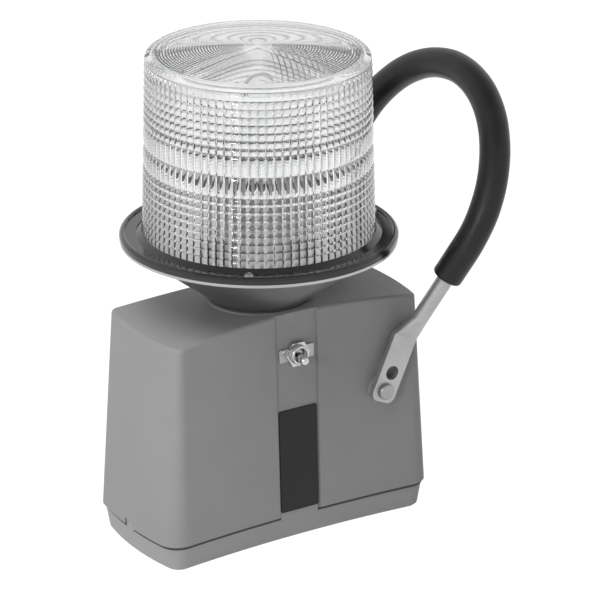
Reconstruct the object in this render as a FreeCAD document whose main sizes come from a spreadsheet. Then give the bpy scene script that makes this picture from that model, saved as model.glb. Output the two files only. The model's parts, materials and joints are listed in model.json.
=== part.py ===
import FreeCAD, Part
import math
import os
import Sketcher

# A portable xenon strobe lamp. Millimetres, +Z up, +X towards the end that carries the bail.
# The origin is the middle of the face that the lamp stands on.

Vector = FreeCAD.Vector

# Driving dimensions: each cell of the sheet holds one of them, under the alias given here.
SIZES = [
    # moulded housing
    ("seam_length", 181.7), ("seam_depth", 90.0), ("seam_corner", 12.7), ("seam_height", 16.5),
    ("crown_length", 165.0), ("crown_depth", 79.4), ("crown_corner", 4.5), ("edge_height", 138.9),
    ("crown_rise", 5.4), ("pinch", 4.5), ("end_bulge", 5.0), ("shell_wall", 2.2),
    ("top_edge_round", 2.0), ("seat_radius", 32.0), ("seat_lift", 0.3), ("panel_width", 29.0),
    ("panel_recess", 1.0), ("overrun", 5.0), ("seam_gap", 1.0), ("fit_gap", 0.3), ("screw_fit", 0.05),
    ("lead_hole_radius", 9.0),
    # base cover
    ("base_length", 174.4), ("base_depth", 82.8), ("base_corner", 9.0), ("base_edge_round", 3.0),
    ("cover_step", 1.5),
    ("cover_floor", 5.5), ("cover_wall", 2.0), ("lip_rise", 2.4), ("lip_wall", 1.6),
    ("cell_length", 34.0), ("cell_width", 25.0), ("cell_depth", 4.0), ("cell_rib", 3.0),
    ("tongue_width", 26.0), ("tongue_rise", 2.6), ("snap_width", 8.0), ("snap_rise", 3.2),
    ("gasket_setback", 1.7),
    # label plate
    ("label_width", 26.6), ("label_height", 64.7), ("label_thick", 0.8), ("label_corner", 1.0),
    # batteries and their contacts
    ("battery_width", 66.5), ("battery_height", 102.0), ("battery_corner", 8.0), ("battery_space", 26.6),
    ("battery_edge_round", 1.5), ("spring_foot_radius", 8.0), ("spring_tip_radius", 5.0),
    ("spring_height", 6.8), ("terminal_offset_x", 12.0), ("terminal_offset_y", 22.0),
    ("strip_thick", 0.8), ("strip_width", 12.0),
    # boards
    ("board_length", 150.0), ("board_depth", 54.0), ("contact_board_thick", 2.0),
    ("circuit_board_thick", 1.6),
    ("board_space", 3.4), ("board_corner", 4.0), ("notch_width", 20.0), ("notch_depth", 15.0),
    ("post_radius", 4.0), ("post_reach_x", 62.0), ("post_reach_y", 20.0), ("board_screw_radius", 1.5),
    ("board_screw_head_radius", 2.8), ("board_screw_head_height", 1.6), ("board_screw_bite", 6.0),
    ("spacer_radius", 3.2), ("capacitor_radius", 7.0), ("capacitor_length", 32.0), ("capacitor_x", -38.0),
    ("coil_block_length", 24.0), ("coil_block_width", 20.0), ("coil_block_height", 14.0),
    ("winding_length", 14.0), ("winding_width", 24.0), ("winding_height", 10.0), ("coil_block_x", 36.0),
    ("part_y", 4.0),
    # switch
    ("switch_height", 118.5), ("switch_plate_length", 24.0), ("switch_plate_width", 13.4),
    ("switch_plate_thick", 0.8), ("nut_flats", 14.2), ("nut_thick", 2.2), ("bushing_radius", 5.9),
    ("bushing_reach", 6.0), ("bushing_bore", 4.3), ("lever_ball_radius", 4.2), ("lever_neck_radius", 2.0),
    ("lever_tip_radius", 3.0), ("lever_length", 17.0), ("lever_tilt", 12.0), ("switch_pin_radius", 0.8),
    ("switch_pin_length", 11.2), ("switch_pin_play", 0.06), ("switch_case_length", 13.2),
    ("switch_case_width", 12.0), ("switch_case_depth", 16.0), ("lug_width", 2.4), ("lug_thick", 0.8),
    ("lug_length", 5.0), ("lug_spread", 3.6), ("wire_radius", 0.7), ("wire_run", 5.0), ("wire_bend", 1.4),
    # lamp head
    ("lamp_offset", 3.3), ("gasket_thick", 1.0), ("collar_foot_radius", 30.4), ("collar_waist_radius", 37.5),
    ("collar_waist_height", 6.0), ("collar_swell_radius", 51.0), ("collar_swell_height", 16.0),
    ("collar_mouth_radius", 75.5), ("collar_height", 36.6),
    ("collar_rim_radius", 81.8), ("collar_rim_thick", 1.8), ("collar_floor", 3.0), ("collar_wall", 2.6),
    ("collar_bore", 9.5), ("collar_screw_circle", 21.0), ("collar_screw_radius", 2.0),
    ("collar_screw_head_radius", 3.6), ("collar_screw_head_height", 2.4), ("collar_screw_reach", 9.0),
    ("lens_seat_radius", 60.0), ("mount_plate_radius", 63.0), ("mount_plate_thick", 1.5),
    ("lens_lip_radius", 71.0), ("lens_lip_thick", 2.0), ("lens_foot_radius", 68.9), ("lens_top_radius", 65.8),
    ("lens_height", 112.0), ("lens_dome_rise", 4.8), ("lens_edge_round", 4.0), ("lens_wall", 2.6),
    ("lower_rings_start", 5.4), ("lower_ring_pitch", 5.4), ("band_height", 12.6), ("band_depth", 0.9),
    ("band_ridge", 1.2), ("upper_ring_pitch", 4.6), ("ring_depth", 0.8), ("flute_depth", 0.8),
    ("flange_radius", 82.2), ("flange_edge", 2.6), ("bead_radius", 80.1), ("bead_rise", 1.3),
    ("bead_width", 3.6), ("flange_valley", 3.0), ("flange_step_radius", 72.5), ("flange_top", 5.4),
    ("ring_screw_circle", 75.45), ("ring_screw_angle", -126.4), ("ring_screw_radius", 1.6),
    ("ring_screw_head_radius", 2.9), ("ring_screw_head_height", 2.2), ("ring_screw_reach", 6.0),
    ("socket_radius", 15.0), ("socket_height", 27.0), ("socket_step_radius", 12.0), ("socket_step", 3.0),
    ("tube_radius", 3.2), ("tube_spread", 9.0), ("tube_leg", 34.0), ("cap_radius", 3.6), ("cap_height", 5.0),
    ("trigger_radius", 5.0), ("trigger_height", 13.0), ("trigger_x", 30.0), ("lead_spread", 4.5),
    ("lead_radius", 0.9),
    # bail
    ("pivot_x", 56.7), ("pivot_z", 84.8), ("bail_lean", 24.1), ("tang_reach", 44.4), ("tang_thick", 3.0),
    ("tang_width", 17.0), ("tang_foot", 7.0), ("tang_corner", 5.0), ("tang_length", 35.0),
    ("spare_hole_radius", 4.4), ("spare_hole_height", 11.7), ("crimp_length", 14.0), ("bail_radius", 5.0),
    ("loop_centre", 121.9), ("loop_radius", 72.5), ("arm_splay", 18.5), ("grip_radius", 9.3),
    ("grip_run", 22.0), ("grip_gap", 0.1), ("pivot_screw_radius", 3.0), ("pivot_fit", 0.06),
    ("pivot_head_radius", 5.0), ("pivot_head_height", 2.6), ("pivot_head_round", 1.5),
    ("washer_radius", 7.5), ("washer_thick", 0.8), ("pivot_gap", 0.2), ("boss_radius", 8.0),
    ("boss_inner", 36.4), ("boss_face", 41.7), ("pivot_nut_flats", 10.0), ("pivot_nut_thick", 2.2),
]

# How often things repeat.
LOWER_RINGS = 5
BANDS = 3
UPPER_RINGS = 8
FLUTES = 88
COLLAR_SCREWS = 4
RING_SCREWS = 3
LAMP_LEADS = 3
ROUND_STEPS = 3

# Where the peak of a tooth and the top of a post fall, as shares of what carries them.
TOOTH_PEAK_SHARE = 0.6
POST_TOP_SHARE = 0.5

doc = FreeCAD.newDocument("strobe_lamp")
sheet = doc.addObject("Spreadsheet::Sheet", "Sizes")
for row, (alias, number) in enumerate(SIZES, start=1):
    sheet.set(f"A{row}", alias)
    sheet.set(f"B{row}", str(number))
    sheet.setAlias(f"B{row}", alias)
doc.recompute()


class Size:
    """A length, angle or share that knows its value and how the sheet works it out."""

    def __init__(self, value, text):
        self.value = float(value)
        self.text = text

    def __add__(self, other):
        other = sized(other)
        return Size(self.value + other.value, f"({self.text} + {other.text})")

    def __sub__(self, other):
        other = sized(other)
        return Size(self.value - other.value, f"({self.text} - {other.text})")

    def __mul__(self, other):
        other = sized(other)
        return Size(self.value * other.value, f"({self.text} * {other.text})")

    def __truediv__(self, other):
        other = sized(other)
        return Size(self.value / other.value, f"({self.text} / {other.text})")

    def __radd__(self, other):
        return sized(other) + self

    def __rsub__(self, other):
        return sized(other) - self

    def __rmul__(self, other):
        return sized(other) * self

    def __neg__(self):
        return Size(-self.value, f"(0 - {self.text})")


def sized(number):
    return number if isinstance(number, Size) else Size(number, repr(number))


def root(size):
    return Size(math.sqrt(size.value), f"sqrt({size.text})")


def sine(angle):
    return Size(math.sin(math.radians(angle.value)), f"sin({angle.text})")


def cosine(angle):
    return Size(math.cos(math.radians(angle.value)), f"cos({angle.text})")


def arctangent(ratio):
    return Size(math.degrees(math.atan(ratio.value)), f"(atan({ratio.text}) / 1deg)")


def arc_radius(half_chord, rise):
    """The radius of the arc that rises by rise over a chord of twice half_chord."""
    return (half_chord * half_chord + rise * rise) / (2 * rise)


class Named:
    """Every driving dimension as an attribute: sizes.pinch is the cell pinch."""

    def __init__(self):
        for alias, _ in SIZES:
            setattr(self, alias, Size(sheet.get(alias), f"Sizes.{alias}"))


sizes = Named()


# Derived places that several pieces share
def up_the_side(height):
    """How far up the tapering side a height is: 0 at the seam, 1 at the crown's edge."""
    return (height - sizes.seam_height) / (sizes.edge_height - sizes.seam_height)


def side_size(at_seam, at_crown, height):
    return at_seam - (at_seam - at_crown) * up_the_side(height)


def half_length_at(height):
    return side_size(sizes.seam_length, sizes.crown_length, height) / 2


def half_depth_at(height):
    return side_size(sizes.seam_depth, sizes.crown_depth, height) / 2


def corner_at(height):
    return side_size(sizes.seam_corner, sizes.crown_corner, height)


def panel_reach_at(height):
    """How far the recessed front panel stands from the middle plane."""
    return half_depth_at(height) - sizes.pinch - sizes.panel_recess


crown_top = sizes.edge_height + sizes.crown_rise
seat_top = crown_top + sizes.seat_lift
collar_foot = seat_top + sizes.gasket_thick
collar_top = collar_foot + sizes.collar_height
lens_foot = collar_top + sizes.gasket_thick
cover_top = sizes.seam_height - sizes.seam_gap / 2
shell_bottom = sizes.seam_height + sizes.seam_gap / 2
tongue_top = sizes.seam_height + sizes.tongue_rise
battery_top = sizes.cover_floor + sizes.battery_height
strip_bottom = battery_top + sizes.spring_height + sizes.fit_gap
contact_board_bottom = strip_bottom + sizes.strip_thick
contact_board_top = contact_board_bottom + sizes.contact_board_thick
circuit_board_bottom = contact_board_top + sizes.board_space
circuit_board_top = circuit_board_bottom + sizes.circuit_board_thick
battery_centre = (sizes.battery_space + sizes.battery_width) / 2
panel_lean = arctangent(
    (sizes.seam_depth - sizes.crown_depth) / 2 / (sizes.edge_height - sizes.seam_height))
socket_foot = collar_top + sizes.mount_plate_thick


# Binding sizes to objects
def tie(thing, **properties):
    for name, size in properties.items():
        thing.setExpression(name, sized(size).text)


def place(thing, x=0, y=0, z=0, tilt=None, axis=Vector(1, 0, 0), path="Placement"):
    """Put a thing at x, y, z, turned by tilt degrees about axis."""
    spin = FreeCAD.Rotation(axis, tilt.value if tilt else 0)
    point = Vector(sized(x).value, sized(y).value, sized(z).value)
    setattr(thing, path, FreeCAD.Placement(point, spin))
    for name, size in (("x", x), ("y", y), ("z", z)):
        if sized(size).value:
            thing.setExpression(f"{path}.Base.{name}", sized(size).text)
    if tilt:
        thing.setExpression(f"{path}.Rotation.Angle", tilt.text)


def new_body(label, **where):
    body = doc.addObject("PartDesign::Body", label)
    body.Label = label
    body.AllowCompound = True
    place(body, **where)
    return body


def plane_of(body, role):
    return next(one for one in body.Origin.OriginFeatures if one.Role == role)


def new_sketch(body, role, name, **offset):
    sketch = body.newObject("Sketcher::SketchObject", f"{body.Label}_{name}")
    sketch.AttachmentSupport = [(plane_of(body, role), "")]
    sketch.MapMode = "FlatFace"
    place(sketch, path="AttachmentOffset", **offset)
    return sketch


# Sketch geometry
ORIGIN, ROOT_POINT, ACROSS, UPRIGHT = -1, 1, -1, -2
START, END, CENTRE = 1, 2, 3


def fix_size(sketch, kind, size, *where):
    number = sketch.addConstraint(Sketcher.Constraint(kind, *where, size.value))
    sketch.setExpression(f"Constraints[{number}]", size.text)


def fix_point(sketch, edge, end, x, y):
    """Hold a point at x, y from the sketch's origin."""
    for kind, axis, size in (("DistanceX", UPRIGHT, sized(x)), ("DistanceY", ACROSS, sized(y))):
        if size.value:
            fix_size(sketch, kind, size, ORIGIN, ROOT_POINT, edge, end)
        else:
            sketch.addConstraint(Sketcher.Constraint("PointOnObject", edge, end, axis))


def arc_edge(begin, finish, radius):
    """The short arc between two points; a positive radius has its centre on the left."""
    chord = finish - begin
    rise = math.sqrt(max(radius ** 2 - chord.Length ** 2 / 4, 0))
    left = Vector(-chord.y, chord.x, 0).normalize()
    centre = (begin + finish) / 2 + left * math.copysign(rise, radius)
    first, last = (begin, finish) if radius > 0 else (finish, begin)
    turn_from = math.atan2(first.y - centre.y, first.x - centre.x)
    turn_to = math.atan2(last.y - centre.y, last.x - centre.x)
    if turn_to < turn_from:
        turn_to += 2 * math.pi
    return Part.ArcOfCircle(Part.Circle(centre, Vector(0, 0, 1), abs(radius)), turn_from, turn_to)


def run(sketch, corners, closed=True):
    """Lines and arcs from corner to corner. A corner is x, y and, after an arc, its radius."""
    points = [Vector(sized(corner[0]).value, sized(corner[1]).value, 0) for corner in corners]
    spans = list(range(1, len(corners))) + ([0] if closed else [])
    edges = []
    for there in spans:
        begin, finish = points[there - 1], points[there]
        if len(corners[there]) == 3:
            radius = sized(corners[there][2])
            edge = sketch.addGeometry(arc_edge(begin, finish, radius.value))
            fix_size(sketch, "Radius", radius if radius.value > 0 else -radius, edge)
            ends = (START, END) if radius.value > 0 else (END, START)
        else:
            edge = sketch.addGeometry(Part.LineSegment(begin, finish))
            ends = (START, END)
        edges.append((edge, *ends))
    for (edge, _, tail), (following, head, _) in zip(edges, edges[1:]):
        sketch.addConstraint(Sketcher.Constraint("Coincident", edge, tail, following, head))
    if closed:
        sketch.addConstraint(
            Sketcher.Constraint("Coincident", edges[-1][0], edges[-1][2], edges[0][0], edges[0][1]))
    for (edge, head, tail), there in zip(edges, spans):
        fix_point(sketch, edge, head, corners[there - 1][0], corners[there - 1][1])
        if not closed and there == spans[-1]:
            fix_point(sketch, edge, tail, corners[there][0], corners[there][1])
    return edges


def ring(sketch, x, y, radius):
    centre = Vector(sized(x).value, sized(y).value, 0)
    edge = sketch.addGeometry(Part.Circle(centre, Vector(0, 0, 1), radius.value))
    fix_point(sketch, edge, CENTRE, x, y)
    fix_size(sketch, "Radius", radius, edge)


def rectangle(sketch, left, right, low, high):
    run(sketch, [(left, low), (right, low), (right, high), (left, high)])


def rounded_rectangle(sketch, half_x, half_y, corner):
    run(sketch, [
        (corner - half_x, -half_y, corner), (half_x - corner, -half_y),
        (half_x, corner - half_y, corner), (half_x, half_y - corner),
        (half_x - corner, half_y, corner), (corner - half_x, half_y),
        (-half_x, half_y - corner, corner), (-half_x, corner - half_y),
    ])


def hexagon(sketch, flats):
    """Six sides, two of them level, across flats wide."""
    point = flats / root(sized(3))
    beside, half = point / 2, flats / 2
    run(sketch, [(point, 0), (beside, half), (-beside, half),
                 (-point, 0), (-beside, -half), (beside, -half)])


def moulded_outline(sketch, half_x, half_y, corner):
    """The housing's plan: bulged ends, pinched long sides and round corners, all tangent."""
    side, end = arc_radius(half_x, sizes.pinch), arc_radius(half_y, sizes.end_bulge)
    side_y, end_x = half_y - sizes.pinch + side, half_x + sizes.end_bulge - end
    far_side, right_end = Vector(0, side_y.value, 0), Vector(end_x.value, 0, 0)
    reach_side, reach_end = side.value + corner.value, end.value - corner.value
    apart = far_side - right_end
    along = (reach_end ** 2 - reach_side ** 2 + apart.Length ** 2) / (2 * apart.Length)
    out = math.sqrt(reach_end ** 2 - along ** 2)
    step = Vector(apart).normalize()
    middle = right_end + step * along + Vector(step.y, -step.x, 0) * out
    on_end = right_end + (middle - right_end) * (end.value / reach_end)
    on_side = far_side + (middle - far_side) * (side.value / reach_side)

    def turned(point, x_sign, y_sign):
        return Vector(point.x * x_sign, point.y * y_sign, 0)

    quarters = [(1, 1), (-1, 1), (-1, -1), (1, -1)]
    for number, (x_sign, y_sign) in enumerate(quarters):
        before = turned(on_end if x_sign == y_sign else on_side, x_sign, y_sign)
        after = turned(on_side if x_sign == y_sign else on_end, x_sign, y_sign)
        following = quarters[(number + 1) % 4]
        next_before = turned(on_end if following[0] == following[1] else on_side, *following)
        sketch.addGeometry(arc_edge(before, after, corner.value))
        straight = -side.value if x_sign == y_sign else end.value
        sketch.addGeometry(arc_edge(after, next_before, straight))
    # edges: 0 corner, 1 far side, 2 corner, 3 left end, 4 corner, 5 near side, 6 corner, 7 right end
    backwards = (1, 5)
    for edge in range(8):
        following = (edge + 1) % 8
        tail = START if edge in backwards else END
        head = END if following in backwards else START
        sketch.addConstraint(Sketcher.Constraint("Tangent", edge, tail, following, head))
    for pair in ((1, 5), (7, 3), (0, 2), (0, 4), (0, 6)):
        sketch.addConstraint(Sketcher.Constraint("Equal", *pair))
    sketch.addConstraint(Sketcher.Constraint("PointOnObject", 1, CENTRE, UPRIGHT))
    sketch.addConstraint(Sketcher.Constraint("PointOnObject", 7, CENTRE, ACROSS))
    sketch.addConstraint(Sketcher.Constraint("Symmetric", 1, CENTRE, 5, CENTRE, ORIGIN, ROOT_POINT))
    sketch.addConstraint(Sketcher.Constraint("Symmetric", 7, CENTRE, 3, CENTRE, ORIGIN, ROOT_POINT))
    fix_size(sketch, "Radius", side, 1)
    fix_size(sketch, "Radius", end, 7)
    fix_size(sketch, "Radius", corner, 0)
    fix_size(sketch, "DistanceY", side_y, ORIGIN, ROOT_POINT, 1, CENTRE)
    fix_size(sketch, "DistanceX", end_x, ORIGIN, ROOT_POINT, 7, CENTRE)


# Features
def pad(body, sketch, length, both_ways=False, towards=1):
    feature = body.newObject("PartDesign::Pad", f"{sketch.Name}_pad")
    feature.Profile = sketch
    feature.SideType = "Symmetric" if both_ways else "One side"
    feature.Reversed = towards < 0
    tie(feature, Length=length)
    return feature


def pocket(body, sketch, length, both_ways=False, towards=1):
    """Cut along the sketch's normal, or against it with towards=-1."""
    doc.recompute()
    before = body.Shape.Volume
    feature = body.newObject("PartDesign::Pocket", f"{sketch.Name}_pocket")
    feature.Profile = sketch
    feature.SideType = "Symmetric" if both_ways else "One side"
    feature.Reversed = towards > 0
    tie(feature, Length=length)
    doc.recompute()
    if not body.Shape.Volume < before:
        raise RuntimeError(f"{feature.Label} cuts nothing")
    return feature


def turn(body, sketch, axis="V_Axis"):
    feature = body.newObject("PartDesign::Revolution", f"{sketch.Name}_turn")
    feature.Profile = sketch
    feature.ReferenceAxis = (sketch, [axis])
    feature.Angle = 360
    return feature


def loft(body, profile, *sections, kind="AdditiveLoft"):
    """Straight-sided between one outline and the next."""
    feature = body.newObject(f"PartDesign::{kind}", f"{profile.Name}_loft")
    feature.Profile = profile
    feature.Sections = list(sections)
    feature.Ruled = True
    return feature


def pipe(body, profile, spine, edges, kind="AdditivePipe"):
    feature = body.newObject(f"PartDesign::{kind}", f"{profile.Name}_pipe")
    feature.Profile = profile
    feature.Spine = (spine, [f"Edge{number}" for number in range(1, edges + 1)])
    return feature


def mirror(body, features, role):
    feature = body.newObject("PartDesign::Mirrored", f"{body.Label}_mirror_{role}")
    feature.Originals = features
    feature.MirrorPlane = (plane_of(body, role), [""])
    body.Tip = feature
    return feature


def repeat_round(body, features, count):
    feature = body.newObject("PartDesign::PolarPattern", f"{body.Label}_round")
    feature.Originals = features
    feature.Axis = (plane_of(body, "Z_Axis"), [""])
    feature.Angle = 360
    feature.Occurrences = count
    body.Tip = feature
    return feature


def soften(body, feature, radius, chosen, kind="Fillet", size_name="Radius"):
    """Round the edges of a feature for which chosen says yes."""
    doc.recompute()
    edges = [f"Edge{number}" for number, edge in enumerate(feature.Shape.Edges, start=1) if chosen(edge)]
    rounding = body.newObject(f"PartDesign::{kind}", f"{feature.Name}_{kind}")
    rounding.Base = (feature, edges)
    tie(rounding, **{size_name: radius})
    return rounding


def turned_body(label, corners, **where):
    """A round piece from its half section, radius by height."""
    body = new_body(label, **where)
    sketch = new_sketch(body, "XZ_Plane", "section")
    run(sketch, corners)
    turn(body, sketch)
    return body


def washer_corners(inner, outer, low, high):
    return [(inner, low), (outer, low), (outer, high), (inner, high)]


def lamp_axis(**where):
    return dict(x=-sizes.lamp_offset, **where)


# Housing
def housing_block(body, inset, low, high):
    """The tapering, pinched and crowned form of the housing, inset all round."""
    sections = []
    for name, height in (("low", low), ("high", high)):
        sketch = new_sketch(body, "XY_Plane", name, z=height)
        moulded_outline(sketch, half_length_at(height) - inset, half_depth_at(height) - inset,
                        corner_at(height) - inset)
        sections.append(sketch)
    loft(body, *sections)
    edge, reach = sizes.edge_height - inset, half_length_at(sizes.edge_height) + sizes.end_bulge
    spare, top = reach + sizes.overrun, high + sizes.overrun
    crown = new_sketch(body, "XZ_Plane", "crown")
    run(crown, [(-spare, edge), (-reach, edge), (reach, edge, -arc_radius(reach, sizes.crown_rise)),
                (spare, edge), (spare, top), (-spare, top)])
    return pocket(body, crown, sizes.seam_depth + sizes.overrun, both_ways=True)


def make_body_shell():
    high = crown_top + sizes.overrun
    core = new_body("shell_core")
    housing_block(core, sizes.shell_wall, shell_bottom - sizes.overrun, high)
    shell = new_body("body_shell")
    block = housing_block(shell, sized(0), shell_bottom, high)
    edge_level = sizes.edge_height.value - sizes.top_edge_round.value
    soften(shell, block, sizes.top_edge_round, lambda edge: edge.BoundBox.ZMin > edge_level)
    hollow = shell.newObject("PartDesign::Boolean", "shell_hollow")
    hollow.Type = "Cut"
    hollow.setObjects([core])

    seat = new_sketch(shell, "XY_Plane", "seat", z=crown_top - sizes.shell_wall)
    ring(seat, -sizes.lamp_offset, 0, sizes.seat_radius)
    pad(shell, seat, sizes.shell_wall + sizes.seat_lift)

    boss = new_sketch(shell, "XZ_Plane", "boss", z=sizes.boss_inner)
    ring(boss, sizes.pivot_x, sizes.pivot_z, sizes.boss_radius)
    boss_pad = pad(shell, boss, sizes.boss_face - sizes.boss_inner)
    mirror(shell, [boss_pad], "XZ_Plane")

    posts = new_sketch(shell, "XY_Plane", "posts", z=circuit_board_top)
    pilots = new_sketch(shell, "XY_Plane", "pilots", z=circuit_board_top)
    for x in (sizes.post_reach_x, -sizes.post_reach_x):
        for y in (sizes.post_reach_y, -sizes.post_reach_y):
            ring(posts, x, y, sizes.post_radius)
            ring(pilots, x, y, sizes.board_screw_radius + sizes.screw_fit)
    pad(shell, posts, sizes.edge_height + sizes.shell_wall * POST_TOP_SHARE - circuit_board_top)
    pocket(shell, pilots, sizes.board_screw_bite + sizes.fit_gap)

    panel = new_sketch(shell, "YZ_Plane", "panel")
    low, far = shell_bottom - sizes.overrun, -(sizes.seam_depth / 2 + sizes.overrun)
    run(panel, [(-panel_reach_at(low), low), (-panel_reach_at(high), high), (far, high), (far, low)])
    pocket(shell, panel, sizes.panel_width, both_ways=True)

    pivots = new_sketch(shell, "XZ_Plane", "pivots")
    ring(pivots, sizes.pivot_x, sizes.pivot_z, sizes.pivot_screw_radius + sizes.pivot_fit)
    pocket(shell, pivots, sizes.seam_depth + sizes.overrun, both_ways=True)

    switch_hole = new_sketch(shell, "XZ_Plane", "switch_hole")
    ring(switch_hole, 0, sizes.switch_height, sizes.bushing_radius + sizes.fit_gap)
    pocket(shell, switch_hole, sizes.seam_depth)

    tongue_notch = new_sketch(shell, "XZ_Plane", "tongue_notch")
    half = sizes.tongue_width / 2 + sizes.fit_gap
    rectangle(tongue_notch, -half, half, shell_bottom - sizes.overrun, tongue_top + sizes.fit_gap)
    pocket(shell, tongue_notch, sizes.seam_depth)

    snap_notch = new_sketch(shell, "YZ_Plane", "snap_notch")
    half = sizes.snap_width / 2 + sizes.fit_gap
    rectangle(snap_notch, -half, half, shell_bottom - sizes.overrun,
              shell_bottom + sizes.snap_rise + sizes.fit_gap)
    pocket(shell, snap_notch, sizes.seam_length + sizes.overrun * 4, both_ways=True)

    head_holes = new_sketch(shell, "XY_Plane", "head_holes", z=seat_top)
    ring(head_holes, -sizes.lamp_offset, 0, sizes.lead_hole_radius)
    for number in range(COLLAR_SCREWS):
        turned = sized(360 * (number + 0.5) / COLLAR_SCREWS)
        ring(head_holes, sizes.collar_screw_circle * cosine(turned) - sizes.lamp_offset,
             sizes.collar_screw_circle * sine(turned), sizes.collar_screw_radius + sizes.screw_fit)
    pocket(shell, head_holes, sizes.overrun * 2, towards=-1)


def cover_size(at_base, at_seam, height):
    return at_base + (at_seam - at_base) * (height / sizes.seam_height)


def cover_outline(body, name, height, inset):
    """The base cover's plan at a height below the seam, inset all round."""
    sketch = new_sketch(body, "XY_Plane", name, z=height)
    step = sizes.cover_step
    moulded_outline(sketch, cover_size(sizes.base_length, sizes.seam_length - step * 2, height) / 2 - inset,
                    cover_size(sizes.base_depth, sizes.seam_depth - step * 2, height) / 2 - inset,
                    cover_size(sizes.base_corner, sizes.seam_corner - step, height) - inset)
    return sketch


def lip_outline(body, name, height, inset):
    """A plan that follows the inside of the shell at the seam."""
    sketch = new_sketch(body, "XY_Plane", name, z=height)
    moulded_outline(sketch, sizes.seam_length / 2 - inset, sizes.seam_depth / 2 - inset,
                    sizes.seam_corner - inset)
    return sketch


def make_base_cover():
    cover = new_body("base_cover")
    steps = []
    for number in range(ROUND_STEPS):
        turned = sized(90 * number / ROUND_STEPS)
        steps.append(cover_outline(cover, f"foot_{number}", sizes.base_edge_round * (1 - cosine(turned)),
                                   sizes.base_edge_round * (1 - sine(turned))))
    loft(cover, *steps, cover_outline(cover, "rim", cover_top, sized(0)))
    lip_inset = sizes.shell_wall + sizes.fit_gap
    lip_top = sizes.seam_height + sizes.lip_rise
    lip = lip_outline(cover, "lip", cover_top - sizes.cover_wall, lip_inset)
    pad(cover, lip, lip_top - cover_top + sizes.cover_wall)

    tongue = new_sketch(cover, "YZ_Plane", "tongue")
    low = cover_top - sizes.cover_wall
    face = sizes.pinch + sizes.cover_step - sizes.seam_depth / 2
    behind = sizes.pinch - sizes.seam_depth / 2 + lip_inset + sizes.lip_wall
    shell_side = sizes.pinch - half_depth_at(tongue_top) + sizes.shell_wall
    run(tongue, [(face, low), (behind, low), (behind, lip_top), (shell_side, lip_top),
                 (shell_side, tongue_top), (face, tongue_top)])
    pad(cover, tongue, sizes.tongue_width, both_ways=True)

    snap = new_sketch(cover, "XZ_Plane", "snap")
    reach = sizes.seam_length / 2 + sizes.end_bulge - sizes.cover_step
    rectangle(snap, reach - lip_inset - sizes.lip_wall / 2, reach, low, shell_bottom + sizes.snap_rise)
    snap_pad = pad(cover, snap, sizes.snap_width, both_ways=True)
    mirror(cover, [snap_pad], "YZ_Plane")

    loft(cover, cover_outline(cover, "floor", sizes.cover_floor, sizes.cover_wall),
         lip_outline(cover, "mouth", lip_top, lip_inset + sizes.lip_wall), kind="SubtractiveLoft")

    cells = new_sketch(cover, "XY_Plane", "cells")
    for x in (-2, -1, 0, 1):
        for y in (-1, 0):
            left = sizes.cell_rib / 2 + (sizes.cell_length + sizes.cell_rib) * x
            low = sizes.cell_rib / 2 + (sizes.cell_width + sizes.cell_rib) * y
            rectangle(cells, left, left + sizes.cell_length, low, low + sizes.cell_width)
    pocket(cover, cells, sizes.cell_depth)


def make_base_gasket():
    gasket = new_body("base_gasket")
    inner = sizes.shell_wall + sizes.fit_gap - sizes.screw_fit
    pad(gasket, lip_outline(gasket, "outer", cover_top, sizes.gasket_setback), sizes.seam_gap)
    pocket(gasket, lip_outline(gasket, "inner", cover_top - sizes.overrun, inner), sizes.overrun * 2)
    notches = new_sketch(gasket, "XY_Plane", "notches", z=cover_top - sizes.overrun)
    half = sizes.tongue_width / 2 + sizes.fit_gap
    rectangle(notches, -half, half, -(sizes.seam_depth / 2), sized(0))
    half = sizes.snap_width / 2 + sizes.fit_gap
    pocket(gasket, notches, sizes.overrun * 2)
    ends = new_sketch(gasket, "XY_Plane", "ends", z=cover_top - sizes.overrun)
    rectangle(ends, -sizes.seam_length, sizes.seam_length, -half, half)
    pocket(gasket, ends, sizes.overrun * 2)


def on_panel(height, proud=sized(0)):
    """A place on the recessed front panel, with the piece's own +Z pointing out of it."""
    lean = 90 - panel_lean
    return dict(y=-(panel_reach_at(height) + proud * sine(lean)), z=height + proud * cosine(lean),
                tilt=lean)


def make_name_plate():
    middle = tongue_top + sizes.fit_gap + sizes.label_height / 2
    plate = new_body("name_plate", **on_panel(middle))
    sketch = new_sketch(plate, "XY_Plane", "face")
    rounded_rectangle(sketch, sizes.label_width / 2, sizes.label_height / 2, sizes.label_corner)
    pad(plate, sketch, sizes.label_thick)


# Batteries, their contacts and the boards
def make_batteries():
    for label, side in (("battery_left", -1), ("battery_right", 1)):
        battery = new_body(label, x=battery_centre * side, z=sizes.cover_floor)
        sketch = new_sketch(battery, "XY_Plane", "plan")
        half = sizes.battery_width / 2
        rounded_rectangle(sketch, half, half, sizes.battery_corner)
        block = pad(battery, sketch, sizes.battery_height)
        ceiling = sizes.battery_height.value / 2
        soften(battery, block, sizes.battery_edge_round, lambda edge: edge.BoundBox.ZMin > ceiling)


def terminal_places():
    """Each battery has one terminal in its middle and one towards a corner."""
    for side in (-1, 1):
        yield battery_centre * side, sized(0)
        yield (battery_centre - sizes.terminal_offset_x) * side, sizes.terminal_offset_y


def make_terminal_springs():
    cones = []
    for number, (x, y) in enumerate(terminal_places(), start=1):
        cone = doc.addObject("Part::Cone", f"spring_{number}")
        tie(cone, Radius1=sizes.spring_foot_radius, Radius2=sizes.spring_tip_radius,
            Height=sizes.spring_height)
        place(cone, x=x, y=y, z=battery_top)
        cones.append(cone)
    group = doc.addObject("Part::Compound", "terminal_springs")
    group.Links = cones


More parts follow.
